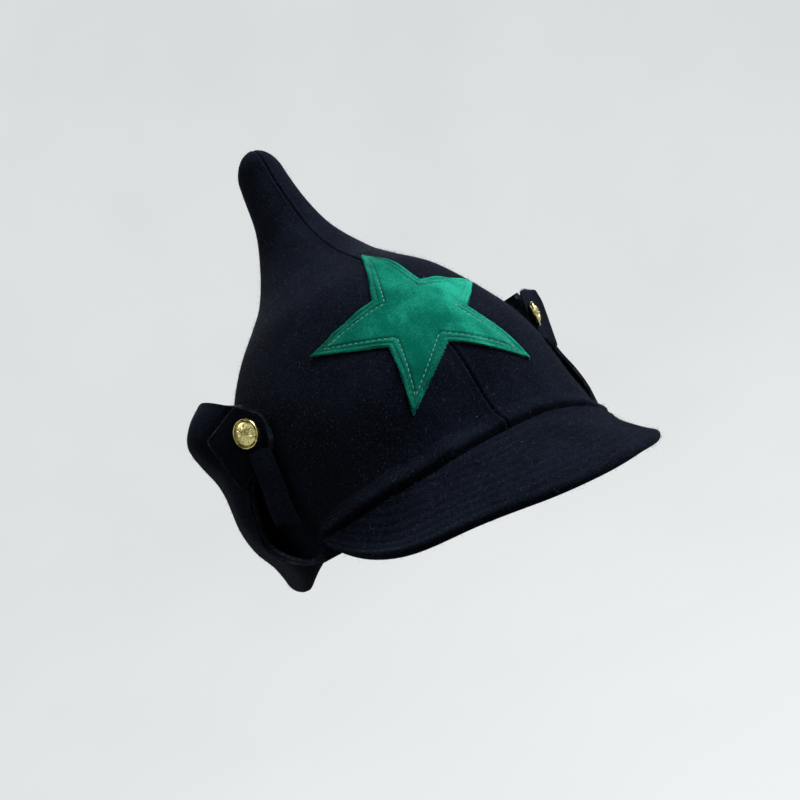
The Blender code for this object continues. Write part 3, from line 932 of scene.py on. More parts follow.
def wool_hairs(finish, place):
    """Crossed fine hairs of matted wool, 0 to 1."""
    swirl = finish.noise(place, 130, 2, 0.5)
    first = finish.noise(finish.turned(place, (20, 35, 10), (1, 1, 0.14)), 1500, 3, 0.6, 0.9)
    second = finish.noise(finish.turned(place, (-50, 15, 70), (1, 0.14, 1)), 1400, 3, 0.6, 0.9)
    third = finish.noise(finish.turned(place, (75, -20, 40), (0.14, 1, 1)), 1600, 3, 0.6, 0.9)
    return first.larger(second).larger(third), swirl


def make_felt(name, colours):
    """Matted wool: mottled dark blue, crossed hairs, pale stray fibres."""
    finish = Finish(name)
    place = finish.place()
    hairs, swirl = wool_hairs(finish, place)
    cloud = finish.noise(place, 42, 3, 0.55)
    grain = finish.noise(place, 900, 4, 0.75)
    shade = finish.span(cloud * 0.35 + hairs * 0.45 + grain * 0.65, 0.60, 0.92)
    base = finish.mix(shade, rgb(colours.felt_dark), rgb(colours.felt_light))
    lint = finish.noise(finish.turned(place, (40, 10, 25), (1, 1, 0.6)), 1500, 1, 0.5)
    base = finish.mix(finish.span(lint, 0.72, 0.79) * 0.7, base, rgb(colours.stray))
    finish.set({"Base Color": base, "Roughness": 1.0, "Specular IOR Level": 0.03,
                "Sheen Weight": 0.026, "Sheen Roughness": 0.45,
                "Sheen Tint": rgb(colours.sheen)})
    finish.relief(hairs * 0.6 + grain * 0.45 + swirl * 0.35 + cloud * 0.3, 0.95, 0.0008)
    return finish.material


def make_hair(name, dark, pale):
    """Single wool hairs, each a little lighter or darker."""
    finish = Finish(name)
    tone = finish.add("ShaderNodeAttribute", {"attribute_name": "tone"}, {}, "Fac")
    finish.set({"Base Color": finish.mix(finish.span(tone, 0.35, 1.0), rgb(dark), rgb(pale)),
                "Roughness": 0.9, "Specular IOR Level": 0.05})
    return finish.material


def make_velvet(colours):
    """Short pile, brushed lighter and darker in patches, with painted light towards the star's far
    side (+X) and painted shade towards its near side.
    """
    finish = Finish("star_velvet_pile")
    place = finish.place()
    nap = finish.noise(finish.turned(place, (0, 25, -35), (1, 1, 0.45)), 34, 3, 0.55, 0.6)
    brushed = finish.noise(place, 95, 2, 0.5)
    # Painted light and shade: the X term lightens the velvet towards the far side (+X) and darkens
    # it towards the near side; the nap, brushing and grain noises are the pile's own patches.
    across = finish.add("ShaderNodeSeparateXYZ", {}, {"Vector": place}, "X")
    grain = finish.noise(place, 1250, 3, 0.7)
    shade = finish.span(nap * 0.75 + brushed * 0.20 + across * 4.5 + grain * 0.45, 0.56, 0.96)
    base = finish.mix(shade, rgb(colours.velvet_dark), rgb(colours.velvet_light))
    finish.set({"Base Color": base, "Roughness": 1.0, "Specular IOR Level": 0.02,
                "Sheen Weight": 0.025, "Sheen Roughness": 0.35,
                "Sheen Tint": rgb(colours.velvet_sheen)})
    finish.relief(grain * 0.6 + brushed * 0.5, 0.5, 0.0004)
    return finish.material


def make_cloth_edge(name, colour, dark):
    """Fluffy cut edge of a cloth."""
    finish = Finish(name)
    place = finish.place()
    patchy = finish.noise(place, 260, 2, 0.6)
    fluff = finish.noise(place, 1500, 4, 0.75, 0.5)
    base = finish.mix(finish.span(fluff * 0.55 + patchy * 0.45, 0.46, 0.64), rgb(dark), rgb(colour))
    finish.set({"Base Color": base, "Roughness": 1.0, "Specular IOR Level": 0.05})
    finish.relief(fluff, 0.9, 0.0006)
    return finish.material


def make_thread(name, colour):
    """Twisted sewing thread."""
    finish = Finish(name)
    place = finish.place()
    twist = finish.noise(place, 2600, 2, 0.6)
    base = finish.mix(finish.span(twist, 0.35, 0.65), rgb(tuple(c * 0.6 for c in colour)),
                      rgb(colour))
    finish.set({"Base Color": base, "Roughness": 0.6, "Specular IOR Level": 0.35})
    finish.relief(twist, 0.5, 0.0001)
    return finish.material


def make_two_tone_thread(name, pale, dark):
    """Sewing thread, pale at the star's near side and dark towards its far top corner."""
    finish = Finish(name)
    place = finish.place()
    across = finish.add("ShaderNodeSeparateXYZ", {}, {"Vector": place}, "X")
    rise = finish.add("ShaderNodeSeparateXYZ", {}, {"Vector": place}, "Z")
    patchy = finish.noise(place, 60, 2, 0.5)
    turned_away = across * 14.0 + rise * 12.0 + patchy * 0.5
    base = finish.mix(finish.span(turned_away, 1.20, 1.50), rgb(pale), rgb(dark))
    finish.set({"Base Color": base, "Roughness": 0.7, "Specular IOR Level": 0.2})
    return finish.material


def make_brass(colours):
    """Stamped brass, polished on the high places and browner in the low ones."""
    finish = Finish("polished_brass")
    place = finish.place()
    cloud = finish.noise(place, 520, 3, 0.6)
    scratch = finish.noise(finish.turned(place, (0, 0, 35), (1, 0.08, 1)), 5200, 2, 0.6)
    base = finish.mix(finish.span(cloud, 0.36, 0.60), rgb(colours.brass_low), rgb(colours.brass))
    finish.set({"Base Color": base, "Metallic": 1.0,
                "Roughness": 0.16 + 0.16 * finish.span(cloud, 0.3, 0.75)})
    finish.relief(scratch * 0.4 + cloud * 0.6, 0.12, 0.0002)
    return finish.material


def make_paper(name, colour, glow):
    """Matt studio paper, evenly lit from within so that no lamp's fall-off shows."""
    finish = Finish(name)
    place = finish.place()
    cloud = finish.noise(place, 1.6, 2, 0.5)
    darker = tuple(c * 0.97 for c in colour)
    tint = finish.mix(finish.span(cloud, 0.3, 0.7), rgb(darker), rgb(colour))
    finish.set({"Base Color": rgb(tuple(c * 0.13 for c in colour)), "Roughness": 0.9,
                "Specular IOR Level": 0.1, "Emission Color": tint, "Emission Strength": glow})
    return finish.material


MATERIALS = {}


def finishes():
    """The cap's materials by name, made once."""
    if not MATERIALS:
        colours = bpy.context.scene.cap_colours
        MATERIALS.update({
            "felt": make_felt("navy_wool_felt", colours),
            "edge": make_cloth_edge("felt_cut_edge", colours.raw_edge, colours.felt_light),
            "hair": make_hair("wool_hair", colours.felt_light, colours.stray),
            "edge hair": make_hair("wool_edge_hair", colours.felt_light, colours.raw_edge),
            "velvet": make_velvet(colours),
            "velvet edge": make_cloth_edge("velvet_cut_edge", colours.velvet_edge,
                                           colours.velvet_light),
            "velvet hair": make_hair("velvet_edge_hair", colours.velvet_light,
                                     colours.velvet_edge),
            "navy thread": make_thread("navy_thread", colours.navy_thread),
            "green thread": make_thread("green_thread", colours.green_thread),
            "pale thread": make_two_tone_thread("pale_green_thread", colours.pale_thread,
                                                colours.green_thread),
            "brass": make_brass(colours),
        })
    return MATERIALS


# Crown

def seam_dip(distance, sizes):
    """How deep the felt is pulled in at a distance from a seam, with a swell beside it."""
    return (sizes.seam_depth * bell(distance, sizes.seam_width)
            - SEAM_SWELL * bell(distance - SWELL_AWAY * sizes.seam_width,
                                SWELL_WIDTH * sizes.seam_width))


def make_gore(name, start, end, columns, rows):
    """One gore between two turns, its columns bunched towards its seams."""
    sizes = bpy.context.scene.cap_crown
    u = np.linspace(0.0, 1.0, columns + 1)
    share = u - COLUMN_BUNCHING * np.sin(2 * math.pi * u) / (2 * math.pi)
    low = ROUNDING_START * np.linspace(0.0, 1.0, rows + 1)[:-1] ** ROW_BUNCHING
    tip = ROUNDING_START + TIP_ROUNDING * np.sin(np.radians(np.linspace(0.0, 90.0, TIP_ROWS)))
    heights = np.concatenate((low, tip))
    turn = start + (end - start) * share[None, :] + np.zeros((len(heights), 1))
    fade = np.clip(1 - heights / (DOME_HEIGHT * ARCH_FADE), 0.0, 1.0)[:, None]
    z = np.minimum(heights[:, None] + edge_height(turn) * fade, INNER_TOP)
    points = outer_point(z, turn)
    steps = np.linalg.norm(np.diff(points, axis=1), axis=2)
    run = np.concatenate((np.zeros((len(heights), 1)), np.cumsum(steps, axis=1)), axis=1)
    away = np.minimum(run, run[:, -1:] - run)
    narrow = np.clip(run[:, -1:] / FULL_SEAM_WIDTH, LEAST_SEAM, 1.0)
    points -= normal_at(z, turn) * (seam_dip(away, sizes) * narrow)[..., None]
    points[-1] = points[-1].mean(axis=0)
    points[-1, :, 0] = 0.0
    piece = new_cloth(name, columns, len(heights) - 1)
    lay(piece, points)
    piece.data.materials.append(finishes()["felt"])
    finish_with(piece, "SOLIDIFY", thickness=FELT * GORE_WALL, offset=-1.0,
                use_quality_normals=True)
    round_look(piece, 70.0)
    return piece


class CAP_OT_crown(bpy.types.Operator):
    """Three felt gores from the rim to the tip of the spike, drawn in at their seams"""

    bl_idname = "cap.crown"
    bl_label = "Crown"

    def execute(self, context):
        back = 360.0 - SIDE_SEAM_TURN
        for name, start, end, node in (
                ("felt_gore_right", -SIDE_SEAM_TURN, 0.0, "crown_gore_right"),
                ("felt_gore_left", 0.0, SIDE_SEAM_TURN, "crown_gore_left"),
                ("felt_gore_back", SIDE_SEAM_TURN, back, "crown_gore_back")):
            piece = make_gore(name, start, end, 96, 132)
            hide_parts(node)
            give(piece, "wool_felt")
        return {"FINISHED"}


# Visor and the roll above it

def visor_height(x, y, half_span, front):
    """Heights of the visor's pattern over level places."""
    curl = VISOR_CURL * (np.abs(x) / half_span) ** VISOR_CURL_POWER
    return BAND_HEIGHT - curl + VISOR_SLOPE * (y - front)


def visor_measures():
    """Foremost y of the visor's seam and half of its span."""
    front = plain_point(np.array(BAND_HEIGHT), np.array(0.0))[1]
    half_span = plain_point(np.array(BAND_HEIGHT / 2), np.array(VISOR_TURN))[0]
    return front, half_span


def visor_fit(share):
    """Height of the visor's root line and shift of its edge at shares of its half span."""
    shares = [fit.share for fit in VISOR_FITS]
    values = [(fit.root, fit.edge) for fit in VISOR_FITS]
    return np.moveaxis(smooth_curve(shares, values, share), -1, 0)


def visor_root(share):
    """Points of the visor's root line, against the crown."""
    height, _ = visor_fit(share)
    return plain_point(height, share * VISOR_TURN, VISOR_THICKNESS / 2 + VISOR_GAP)


def visor_middle(columns, rows):
    """Middle surface of the visor: rows from the root to the outer edge."""
    front, half_span = visor_measures()
    share = np.linspace(-1.0, 1.0, columns + 1)
    root = visor_root(share)
    _, shift = visor_fit(share)
    corner = plain_point(np.array(BAND_HEIGHT / 2), np.array(VISOR_TURN), VISOR_THICKNESS / 2)
    depth = corner[1] - front + VISOR_REACH
    sweep = np.radians(share * VISOR_END_SWEEP)
    edge_x = corner[0] * signed_power(np.sin(sweep), 2 / VISOR_SQUARENESS)
    edge_y = corner[1] - depth * signed_power(np.cos(sweep), 2 / VISOR_SQUARENESS)
    t = np.linspace(0.0, 1.0, rows + 1)[:, None]
    x = root[None, :, 0] + (edge_x - root[:, 0])[None] * t
    y = root[None, :, 1] + (edge_y - root[:, 1])[None] * t
    lift = (root[:, 2] - visor_height(root[:, 0], root[:, 1], half_span, front))[None] * (1 - t)
    dip = VISOR_DIP * np.sin(np.pi * t ** DIP_PLACE) * (x / half_span) ** 2
    dip = dip * ramp(1 - np.abs(share), 0.0, DIP_FADE)[None]
    z = visor_height(x, y, half_span, front) + lift - dip + shift[None] * t
    return np.stack((x, y, z), axis=-1)


def visor_surfaces(columns, rows):
    """Upper and lower faces of the stitched visor, and how far each place is from the edge."""
    sizes = bpy.context.scene.cap_visor
    middle = visor_middle(columns, rows)
    normals = grid_normals(middle)
    steps = np.linalg.norm(np.diff(middle[::-1], axis=0), axis=2)
    inset = np.concatenate((np.zeros((1, middle.shape[1])), np.cumsum(steps, axis=0)))[::-1]
    strides = np.linalg.norm(np.diff(middle, axis=1), axis=2)
    run = np.concatenate((np.zeros((middle.shape[0], 1)), np.cumsum(strides, axis=1)), axis=1)
    from_end = np.minimum(run, run[:, -1:] - run) + 0.0002
    half = VISOR_THICKNESS / 2
    close = np.minimum(inset, from_end)
    rounding = np.sqrt(1 - (1 - np.clip(close / (half * VISOR_ROUNDING), 0.0, 1.0)) ** 2)
    row = inset / sizes.ridge_pitch
    nearest = np.abs(row - np.round(row)) * sizes.ridge_pitch
    groove = sizes.ridge_depth * bell(nearest, RING_WIDTH) * (np.round(row) > 0)
    swell = RING_SWELL * (1 - bell(nearest, RING_SWELL_WIDTH))
    upper = middle + normals * (half * rounding - groove + swell)[..., None]
    lower = middle - normals * (half * rounding - groove * LOWER_RINGS + swell)[..., None]
    return upper, lower, normals, inset


class CAP_OT_visor(bpy.types.Operator):
    """Stiffened visor with its stitched rings, and the soft roll over its seam"""

    bl_idname = "cap.visor"
    bl_label = "Visor and roll"

    def execute(self, context):
        self.make_visor()
        self.make_roll()
        return {"FINISHED"}

    def make_visor(self):
        columns, rows = 170, 84
        upper, lower, normals, inset = visor_surfaces(columns, rows)
        points = np.concatenate((upper, lower[-2::-1], upper[:1]))
        piece = new_cloth("stitched_visor", columns, len(points) - 1)
        lay(piece, points)
        sew_edges(piece, 0.00001, fill=True)
        round_look(piece, 60.0)
        give(piece, "wool_felt", finishes()["felt"])
        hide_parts("visor")
        sizes = bpy.context.scene.cap_visor
        runs = self.ring_runs(upper, normals, inset, sizes.ridge_pitch)
        place_stitches("visor_stitches", runs, VISOR_THREAD, sizes.stitch_length,
                       VISOR_STITCH_GAP, "wool_felt", finishes()["navy thread"])

    def ring_runs(self, upper, normals, inset, pitch):
        """Runs of the rings over the visor, broken where it is too short for them."""
        runs = []
        for number in range(1, VISOR_RINGS + 1):
            level = number * pitch
            columns = [column for column in range(4, inset.shape[1] - 4)
                       if level <= inset[0, column] - RING_MARGIN]
            for group in np.split(columns, np.flatnonzero(np.diff(columns) > 1) + 1):
                if len(group) > SHORTEST_RING:
                    row = np.abs(inset[:, group] - level).argmin(axis=0)
                    facing = normals[row, group]
                    runs.append((upper[row, group] + facing * VISOR_STITCH_LIFT, facing))
        return runs

    def make_roll(self):
        columns, around = 280, 44
        share = np.linspace(-1.0, 1.0, columns + 1)
        share = share * (ROLL_BUNCHING + (1 - ROLL_BUNCHING) * share ** 2)
        root = visor_root(share)
        swell = 1 - WELT_TAPER * np.abs(share) ** ROLL_END_POWER
        tall = ROLL_HEIGHT * swell * (1 + UNEVEN_HEIGHT * np.sin(share * 23 + 1.0))
        waves = UNEVEN_DEPTH * np.sin(share * 31) * np.sin(share * 13 + 2)
        deep = ROLL_DEPTH * swell * (1 + waves)
        places = np.linspace(0.0, len(ROLL_SECTION) - 1.0, around + 1)
        loop = smooth_curve(np.arange(len(ROLL_SECTION)), ROLL_SECTION, places)
        up = VISOR_THICKNESS / 2 + ROLL_GAP + tall[None] * loop[:, :1]
        sizes = bpy.context.scene.cap_crown
        seam = seam_dip(np.abs(root[:, 0]), sizes)
        out = deep[None] * loop[:, 1:] - seam[None] * (loop[:, 1:] > 0)
        points = outer_point(root[None, :, 2] + up, (share * VISOR_TURN)[None] + 0 * up, out)
        piece = new_cloth("visor_roll", columns, around)
        lay(piece, points)
        sew_edges(piece, 0.00001, fill=True)
        round_look(piece, 70.0)
        give(piece, "wool_felt", finishes()["felt"])
        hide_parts("visor_welt")


# Star

def seam_table():
    """Heights up the front seam with their distance from the rim."""
    z = np.linspace(0.0, ROUNDING_START, 61)
    points = plain_point(z, np.zeros_like(z))
    steps = np.linalg.norm(np.diff(points, axis=0), axis=1)
    return np.concatenate(([0.0], np.cumsum(steps))), z


def on_front(across, up):
    """Seat of the star's cloth at distances across and up from its centre."""
    strides = 10
    tries = 2
    hover = HEAD_LENGTH / 8
    least = 1e-7
    run, heights = seam_table()
    z = smooth_curve(run, heights, STAR_CENTRE + up)
    flat = np.zeros_like(z)
    place = seam = plain_point(z, flat)
    normal = normal_at(z, flat)
    side = np.stack((np.sign(across), flat, flat), axis=-1)
    stride = np.abs(across) / strides
    reached = np.zeros_like(z)
    for _ in range(strides):
        sideways = stride.copy()
        for _ in range(tries):
            start = seam + side * (reached + sideways)[:, None] + normal * hover
            following = reach_surface(start, -normal, 0.0)
            step = np.linalg.norm(following - place, axis=1)
            sideways = np.where(step > least, sideways * stride / np.maximum(step, least),
                                sideways)
        reached += sideways
        place = following
    return place


def lifted(places, out):
    """Points out from places on the crown, over its dents."""
    z, turn = turn_of(places)
    depth = bpy.context.scene.cap_crown.slack
    normals = normal_at(z, turn)
    return places + normals * (out + depth * slack(z, turn))[:, None], normals


def inset_from(points, outline):
    """Distance of flat points from a closed outline."""
    nearest = np.full(len(points), 1.0)
    for a, b in zip(outline, np.roll(outline, -1, axis=0)):
        along = b - a
        t = np.clip((points - a) @ along / along.dot(along), 0.0, 1.0)
        nearest = np.minimum(nearest, np.linalg.norm(points - a - t[:, None] * along, axis=1))
    return nearest


def inner_outline(at_tips, at_notches):
    """Star corners moved in from the edges by a distance at the tips and at the notches."""
    corners = np.array(STAR_CORNERS)
    moved = []
    insets = [at_tips, at_notches] * 5
    neighbours = zip(insets, np.roll(corners, 1, axis=0), corners, np.roll(corners, -1, axis=0))
    for inset, before, at, after in neighbours:
        first = (at - before) / np.linalg.norm(at - before)
        second = (after - at) / np.linalg.norm(after - at)
        normal_first = np.array((-first[1], first[0]))
        normal_second = np.array((-second[1], second[0]))
        middle = normal_first + normal_second
        moved.append(at + middle * inset / (1 + normal_first.dot(normal_second)))
    return np.array(moved)


class CAP_OT_star(bpy.types.Operator):
    """Velvet star sewn on the front seam with two rows of thread"""

    bl_idname = "cap.star"
    bl_label = "Star patch"

    def execute(self, context):
        sizes = context.scene.cap_star
        start_radius = 0.05
        deselect_all()
        bpy.ops.mesh.primitive_circle_add(vertices=10, radius=start_radius, fill_type="TRIFAN")
        piece = context.object
        piece.name = "velvet_star"
        points = corners_of(piece)
        outline = np.array(STAR_CORNERS)
        angles = np.degrees(np.arctan2(points[:, 1], points[:, 0]))
        rim = np.linalg.norm(points[:, :2], axis=1) > start_radius / 2
        for index in np.flatnonzero(rim):
            corner = int(round(((angles[index] - 90.0) % 360.0) / 36.0)) % 10
            points[index, :2] = outline[corner]
        lay(piece, points)
        bpy.ops.object.mode_set(mode="EDIT")
        bpy.ops.mesh.select_all(action="SELECT")
        bpy.ops.mesh.subdivide(number_cuts=STAR_CUTS)
        bpy.ops.object.mode_set(mode="OBJECT")
        flat = corners_of(piece)[:, :2]
        inset = inset_from(flat, outline)
        flat = self.bow_edges(flat, inset)
        seat = on_front(flat[:, 0], flat[:, 1])
        rows = [inset_from(flat, inner_outline(*row)) for row in self.rows(sizes)]
        pressed = sum(bell(row, STITCH_PULL) for row in rows)
        puff = sizes.thickness * (1 - STITCH_PRESS * np.clip(pressed, 0, 1))
        puff = puff * (EDGE_PUFF + (1 - EDGE_PUFF) * ramp(inset, 0, EDGE_PUFF_WIDTH))
        waves = 1 + np.sin(flat[:, 0] * 420 + flat[:, 1] * 310)
        curl = STAR_CURL * (1 - ramp(inset, 0.0, STAR_CURL_WIDTH)) * waves
        points, _ = lifted(seat, STAR_SEAT + puff + curl)
        lay(piece, points)
        piece.data.materials.append(finishes()["velvet"])
        piece.data.materials.append(finishes()["velvet edge"])
        finish_with(piece, "SOLIDIFY", thickness=sizes.thickness * STAR_WALL, offset=-1.0,
                    use_quality_normals=True, material_offset_rim=1)
        round_look(piece, 50.0)
        give(piece, "star_velvet")
        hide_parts("star_patch")
        self.sew(sizes)
        self.fringe(sizes)
        return {"FINISHED"}

    def rows(self, sizes):
        """Distances of the two stitched rows from the edge, at the tips and at the notches."""
        return ((sizes.outer_row * OUTER_ROW_TIPS, sizes.outer_row),
                (sizes.inner_row * INNER_ROW_TIPS, sizes.inner_row))

    def bow_edges(self, flat, inset):
        """Waves of the cut edge, dying out towards the middle."""
        reach = np.linalg.norm(flat, axis=1, keepdims=True)
        wave = np.sin(flat[:, 0] * 160 + 0.6) * np.cos(flat[:, 1] * 190 + 0.4)
        near = 1 - ramp(inset, 0.0, STAR_WAVE_WIDTH)
        return flat + flat / np.maximum(reach, 0.001) * (STAR_WAVE * wave * near)[:, None]

    def sew(self, sizes):
        outer, inner = self.rows(sizes)
        for name, row, material in (("star_outer_stitches", outer, "green thread"),
                                    ("star_inner_stitches", inner, "pale thread")):
            outline = inner_outline(*row)
            runs = []
            for a, b in zip(outline, np.roll(outline, -1, axis=0)):
                t = np.linspace(0.0, 1.0, 24)[:, None]
                line = a + (b - a) * t
                seat = on_front(line[:, 0], line[:, 1])
                runs.append(lifted(seat, STAR_SEAT + sizes.thickness * STITCH_SEAT
                                   + np.zeros(len(line))))
            place_stitches(name, runs, STAR_THREAD, sizes.stitch_length, sizes.stitch_gap,
                           "star_velvet", finishes()[material])

    def fringe(self, sizes):
        outline = np.array(STAR_CORNERS)
        chance = np.random.default_rng(7)
        places, normals = [], []
        for a, b in zip(outline, np.roll(outline, -1, axis=0)):
            count = int(np.linalg.norm(b - a) / FRINGE_SPACING)
            t = chance.random(count)[:, None]
            line = a + (b - a) * t + chance.normal(scale=FRINGE_SPREAD, size=(count, 2))
            outward = np.array((b[1] - a[1], a[0] - b[0]))
            outward /= np.linalg.norm(outward)
            seat = on_front(line[:, 0], line[:, 1])
            further = on_front(line[:, 0] + outward[0] * 0.001, line[:, 1] + outward[1] * 0.001)
            points, _ = lifted(seat, STAR_SEAT + sizes.thickness * chance.uniform(0.1, 0.8, count))
            places.append(points)
            normals.append(unit(further - seat))
        add_hairs("star_edge_hairs", np.concatenate(places), np.concatenate(normals),
                  VELVET_HAIR_LENGTH, EDGE_HAIR_THICKNESS, EDGE_HAIR_LIE, 11, "star_velvet",
                  finishes()["velvet hair"])


# Neck guard

def flap_sections(stations, edge, ahead):
    """Sections of a half from its front edge back: turn, height and stand of every row."""
    sections = [[(row.turn - ahead * ramp(row.height, *AHEAD_START) * ramp(row.height, *AHEAD_END),
                  row.height, row.stand * FLAP_STAND) for row in edge]]
    for station in stations:
        turn = station.turn
        sunk = min(float(plain_point(np.array(0.0), np.array(turn))[2]), 0.0) - RIM_COVER
        rows = [(turn, sunk, -FELT / 2)]
        for drop, stand in zip(FLAP_DROPS, station.fold_stands):
            rows.append((turn, min(-drop * station.fold * FOLD_DROP, sunk), stand * FLAP_STAND))
        for rise, stand in zip(FLAP_RISES, station.stands):
            rows.append((turn, rise * station.top * FLAP_HEIGHT, stand * FLAP_STAND))
        sections.append(rows)
    return np.array(sections, float)


def half_guard(stations, edge, side, columns, rows, ahead):
    """Middle surface of half of the guard, from its front edge to the nape."""
    sections = flap_sections(stations, edge, ahead)
    beyond = sections[-2] * np.array((-1.0, 1.0, 1.0)) + np.array((360.0, 0.0, 0.0))
    sections = np.concatenate((sections, beyond[None]))
    knots = [FRONT_KNOT] + [station.turn for station in stations] + [360.0 - stations[-2].turn]
    share = np.linspace(0.0, 1.0, columns + 1)
    place = FRONT_KNOT + (stations[-1].turn - FRONT_KNOT) * share ** STATION_BUNCHING
    across = smooth_curve(knots, sections, place)
    count = sections.shape[1]
    table = smooth_curve(np.arange(count), np.swapaxes(across, 0, 1),
                         np.linspace(0.0, count - 1.0, rows + 1))
    turns, z, stand = np.moveaxis(table, -1, 0)
    reference = np.clip(z, 0.0, BULGE_HEIGHT)
    base = inner_point(reference, side * turns)
    base = base + level_normal(reference, side * turns) * (FELT + stand)[..., None]
    return np.stack((base[..., 0], base[..., 1], z), axis=-1)


def flap_middle(columns, rows, far_ahead=0.0, near_ahead=0.0):
    """Middle surface of the guard from its far edge round the nape to its near edge."""
    far = half_guard(FAR_STATIONS, FAR_EDGE, 1.0, columns // 2, rows, far_ahead)
    near = half_guard(NEAR_STATIONS, NEAR_EDGE, -1.0, columns // 2, rows, near_ahead)
    return np.concatenate((far, near[:, -2::-1]), axis=1)


def tucked_under(points, spare):
    """Guard points pressed down where a lappet lies over them."""
    for end in BUTTONED_ENDS.values():
        base, axis, toward, rise = button_frame(end)
        away = points - base
        height = away @ axis
        flat = np.stack((away @ toward, away @ rise), axis=-1)
        angle = np.degrees(np.arctan2(flat[..., 1], flat[..., 0])) % 360.0
        reach = np.linalg.norm(flat, axis=-1) / lappet_rim(end, angle)
        limit = -(LAPPET_GAP + LAPPET_THICKNESS + spare)
        over = np.where(height < PRESSED_WITHIN, np.maximum(height - limit, 0.0), 0.0)
        points = points - axis * (over * (1 - ramp(reach, *PRESS_FADE)))[..., None]
    return points


class CAP_OT_guard(bpy.types.Operator):
    """Two plies of the neck guard, turned up round the back"""

    bl_idname = "cap.guard"
    bl_label = "Neck guard"

    def execute(self, context):
        sizes = context.scene.cap_guard
        apart = (FLAP_THICKNESS - sizes.ply) / 2
        for name, side, ahead in (("guard_outer_ply", 1.0, (0.0, 0.0)),
                                  ("guard_inner_ply", -1.0, INNER_PLY_AHEAD)):
            middle = flap_middle(*GUARD_GRID, *ahead)
            column = np.arange(middle.shape[1])
            from_edge = np.minimum(column, column[::-1])
            open_share = ramp(from_edge, 0, EDGE_COLUMNS)
            closed = (EDGE_CLOSENESS + (1 - EDGE_CLOSENESS) * open_share)[None, :, None]
            points = middle + grid_normals(middle) * (apart * side * closed)
            points = tucked_under(points, sizes.ply / 2 + (0.0 if side > 0 else FLAP_THICKNESS / 2))
            rows, columns = points.shape[0] - 1, points.shape[1] - 1
            piece = new_cloth(name, columns, rows)
            lay(piece, points)
            piece.data.materials.append(finishes()["felt"])
            piece.data.materials.append(finishes()["edge"])
            column = np.tile(np.arange(columns), rows)
            mark_faces(piece, 1, (column < 1) | (column >= columns - 1))
            finish_with(piece, "SOLIDIFY", thickness=sizes.ply, offset=0.0,
                        use_quality_normals=True, material_offset_rim=1)
            round_look(piece, 60.0)
            give(piece, "wool_felt")
            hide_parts("neck_flap")
        return {"FINISHED"}


# Lappets, tongues and buttons

def button_frame(end):
    """Centre of a button's back, its outward axis, its tangent to the front and its rise."""
    facing = math.radians(BUTTON_FACING)
    lean = math.radians(end.lean)
    toward = np.array((-end.side * math.cos(facing), -math.sin(facing), 0.0))
    level = np.array((end.side * math.sin(facing), -math.cos(facing), 0.0))
    axis = level * math.cos(lean) + np.array((0.0, 0.0, math.sin(lean)))
    rise = np.array((0.0, 0.0, math.cos(lean))) - level * math.sin(lean)
    height = np.array(BUTTON_HEIGHT + end.up)
    turn = np.array(end.side * BUTTON_TURN)
    seat = plain_point(height, turn) + level_normal(height, turn) * (BUTTON_STANDOFF + end.out)
    return seat + toward * end.across, axis, toward, rise


def lappet_outline(end):
    """Outline of a lappet with its corners rounded, across and up from its button."""
    corners = np.array(end.corners)
    following = np.roll(corners, -1, axis=0)
    sides = np.linalg.norm(following - corners, axis=1)
    run = np.concatenate(([0.0], np.cumsum(sides)))
    count = 360
    places = np.linspace(0.0, run[-1], count + 1)[:-1]
    closed = np.concatenate((corners, corners[:1]))
    line = np.stack([np.interp(places, run, closed[:, i]) for i in range(2)], axis=1)
    step = run[-1] / count
    reach = int(3 * LAPPET_ROUNDING / step)
    weights = bell(np.arange(-reach, reach + 1) * step, LAPPET_ROUNDING)
    weights /= weights.sum()
    padded = np.concatenate((line[-reach:], line, line[:reach]))
    return np.stack([np.convolve(padded[:, i], weights, "valid") for i in range(2)], axis=1)


def lappet_rim(end, angle):
    """Reach of a lappet's outline at angles from the front side, anticlockwise."""
    outline = lappet_outline(end)
    angles = np.degrees(np.arctan2(outline[:, 1], outline[:, 0])) % 360.0
    order = np.argsort(angles)
    return np.interp(angle, angles[order], np.linalg.norm(outline, axis=1)[order], period=360.0)


def lappet_points(end, angle, share, out):
    """Points of a lappet at an angle round its button and a share of its reach."""
    base, axis, toward, rise = button_frame(end)
    radius = lappet_rim(end, angle) * share
    across = radius * np.cos(np.radians(angle))
    up = radius * np.sin(np.radians(angle))
    points = (base - axis * (BUTTON_GAP + LAPPET_THICKNESS / 2) + toward * across[..., None]
              + rise * up[..., None])
    loose = ramp(np.hypot(across, up), *LAPPET_CURL_REACH)
    curl = LAPPET_CURL * np.sin(across * 190 + 0.5) * loose
    need = LAPPET_THICKNESS / 2 + LAPPET_GAP
    short = np.maximum(need - outside_by(points), 0.0)
    return points + axis * (short * LAPPET_SPARE + out + curl)[..., None]


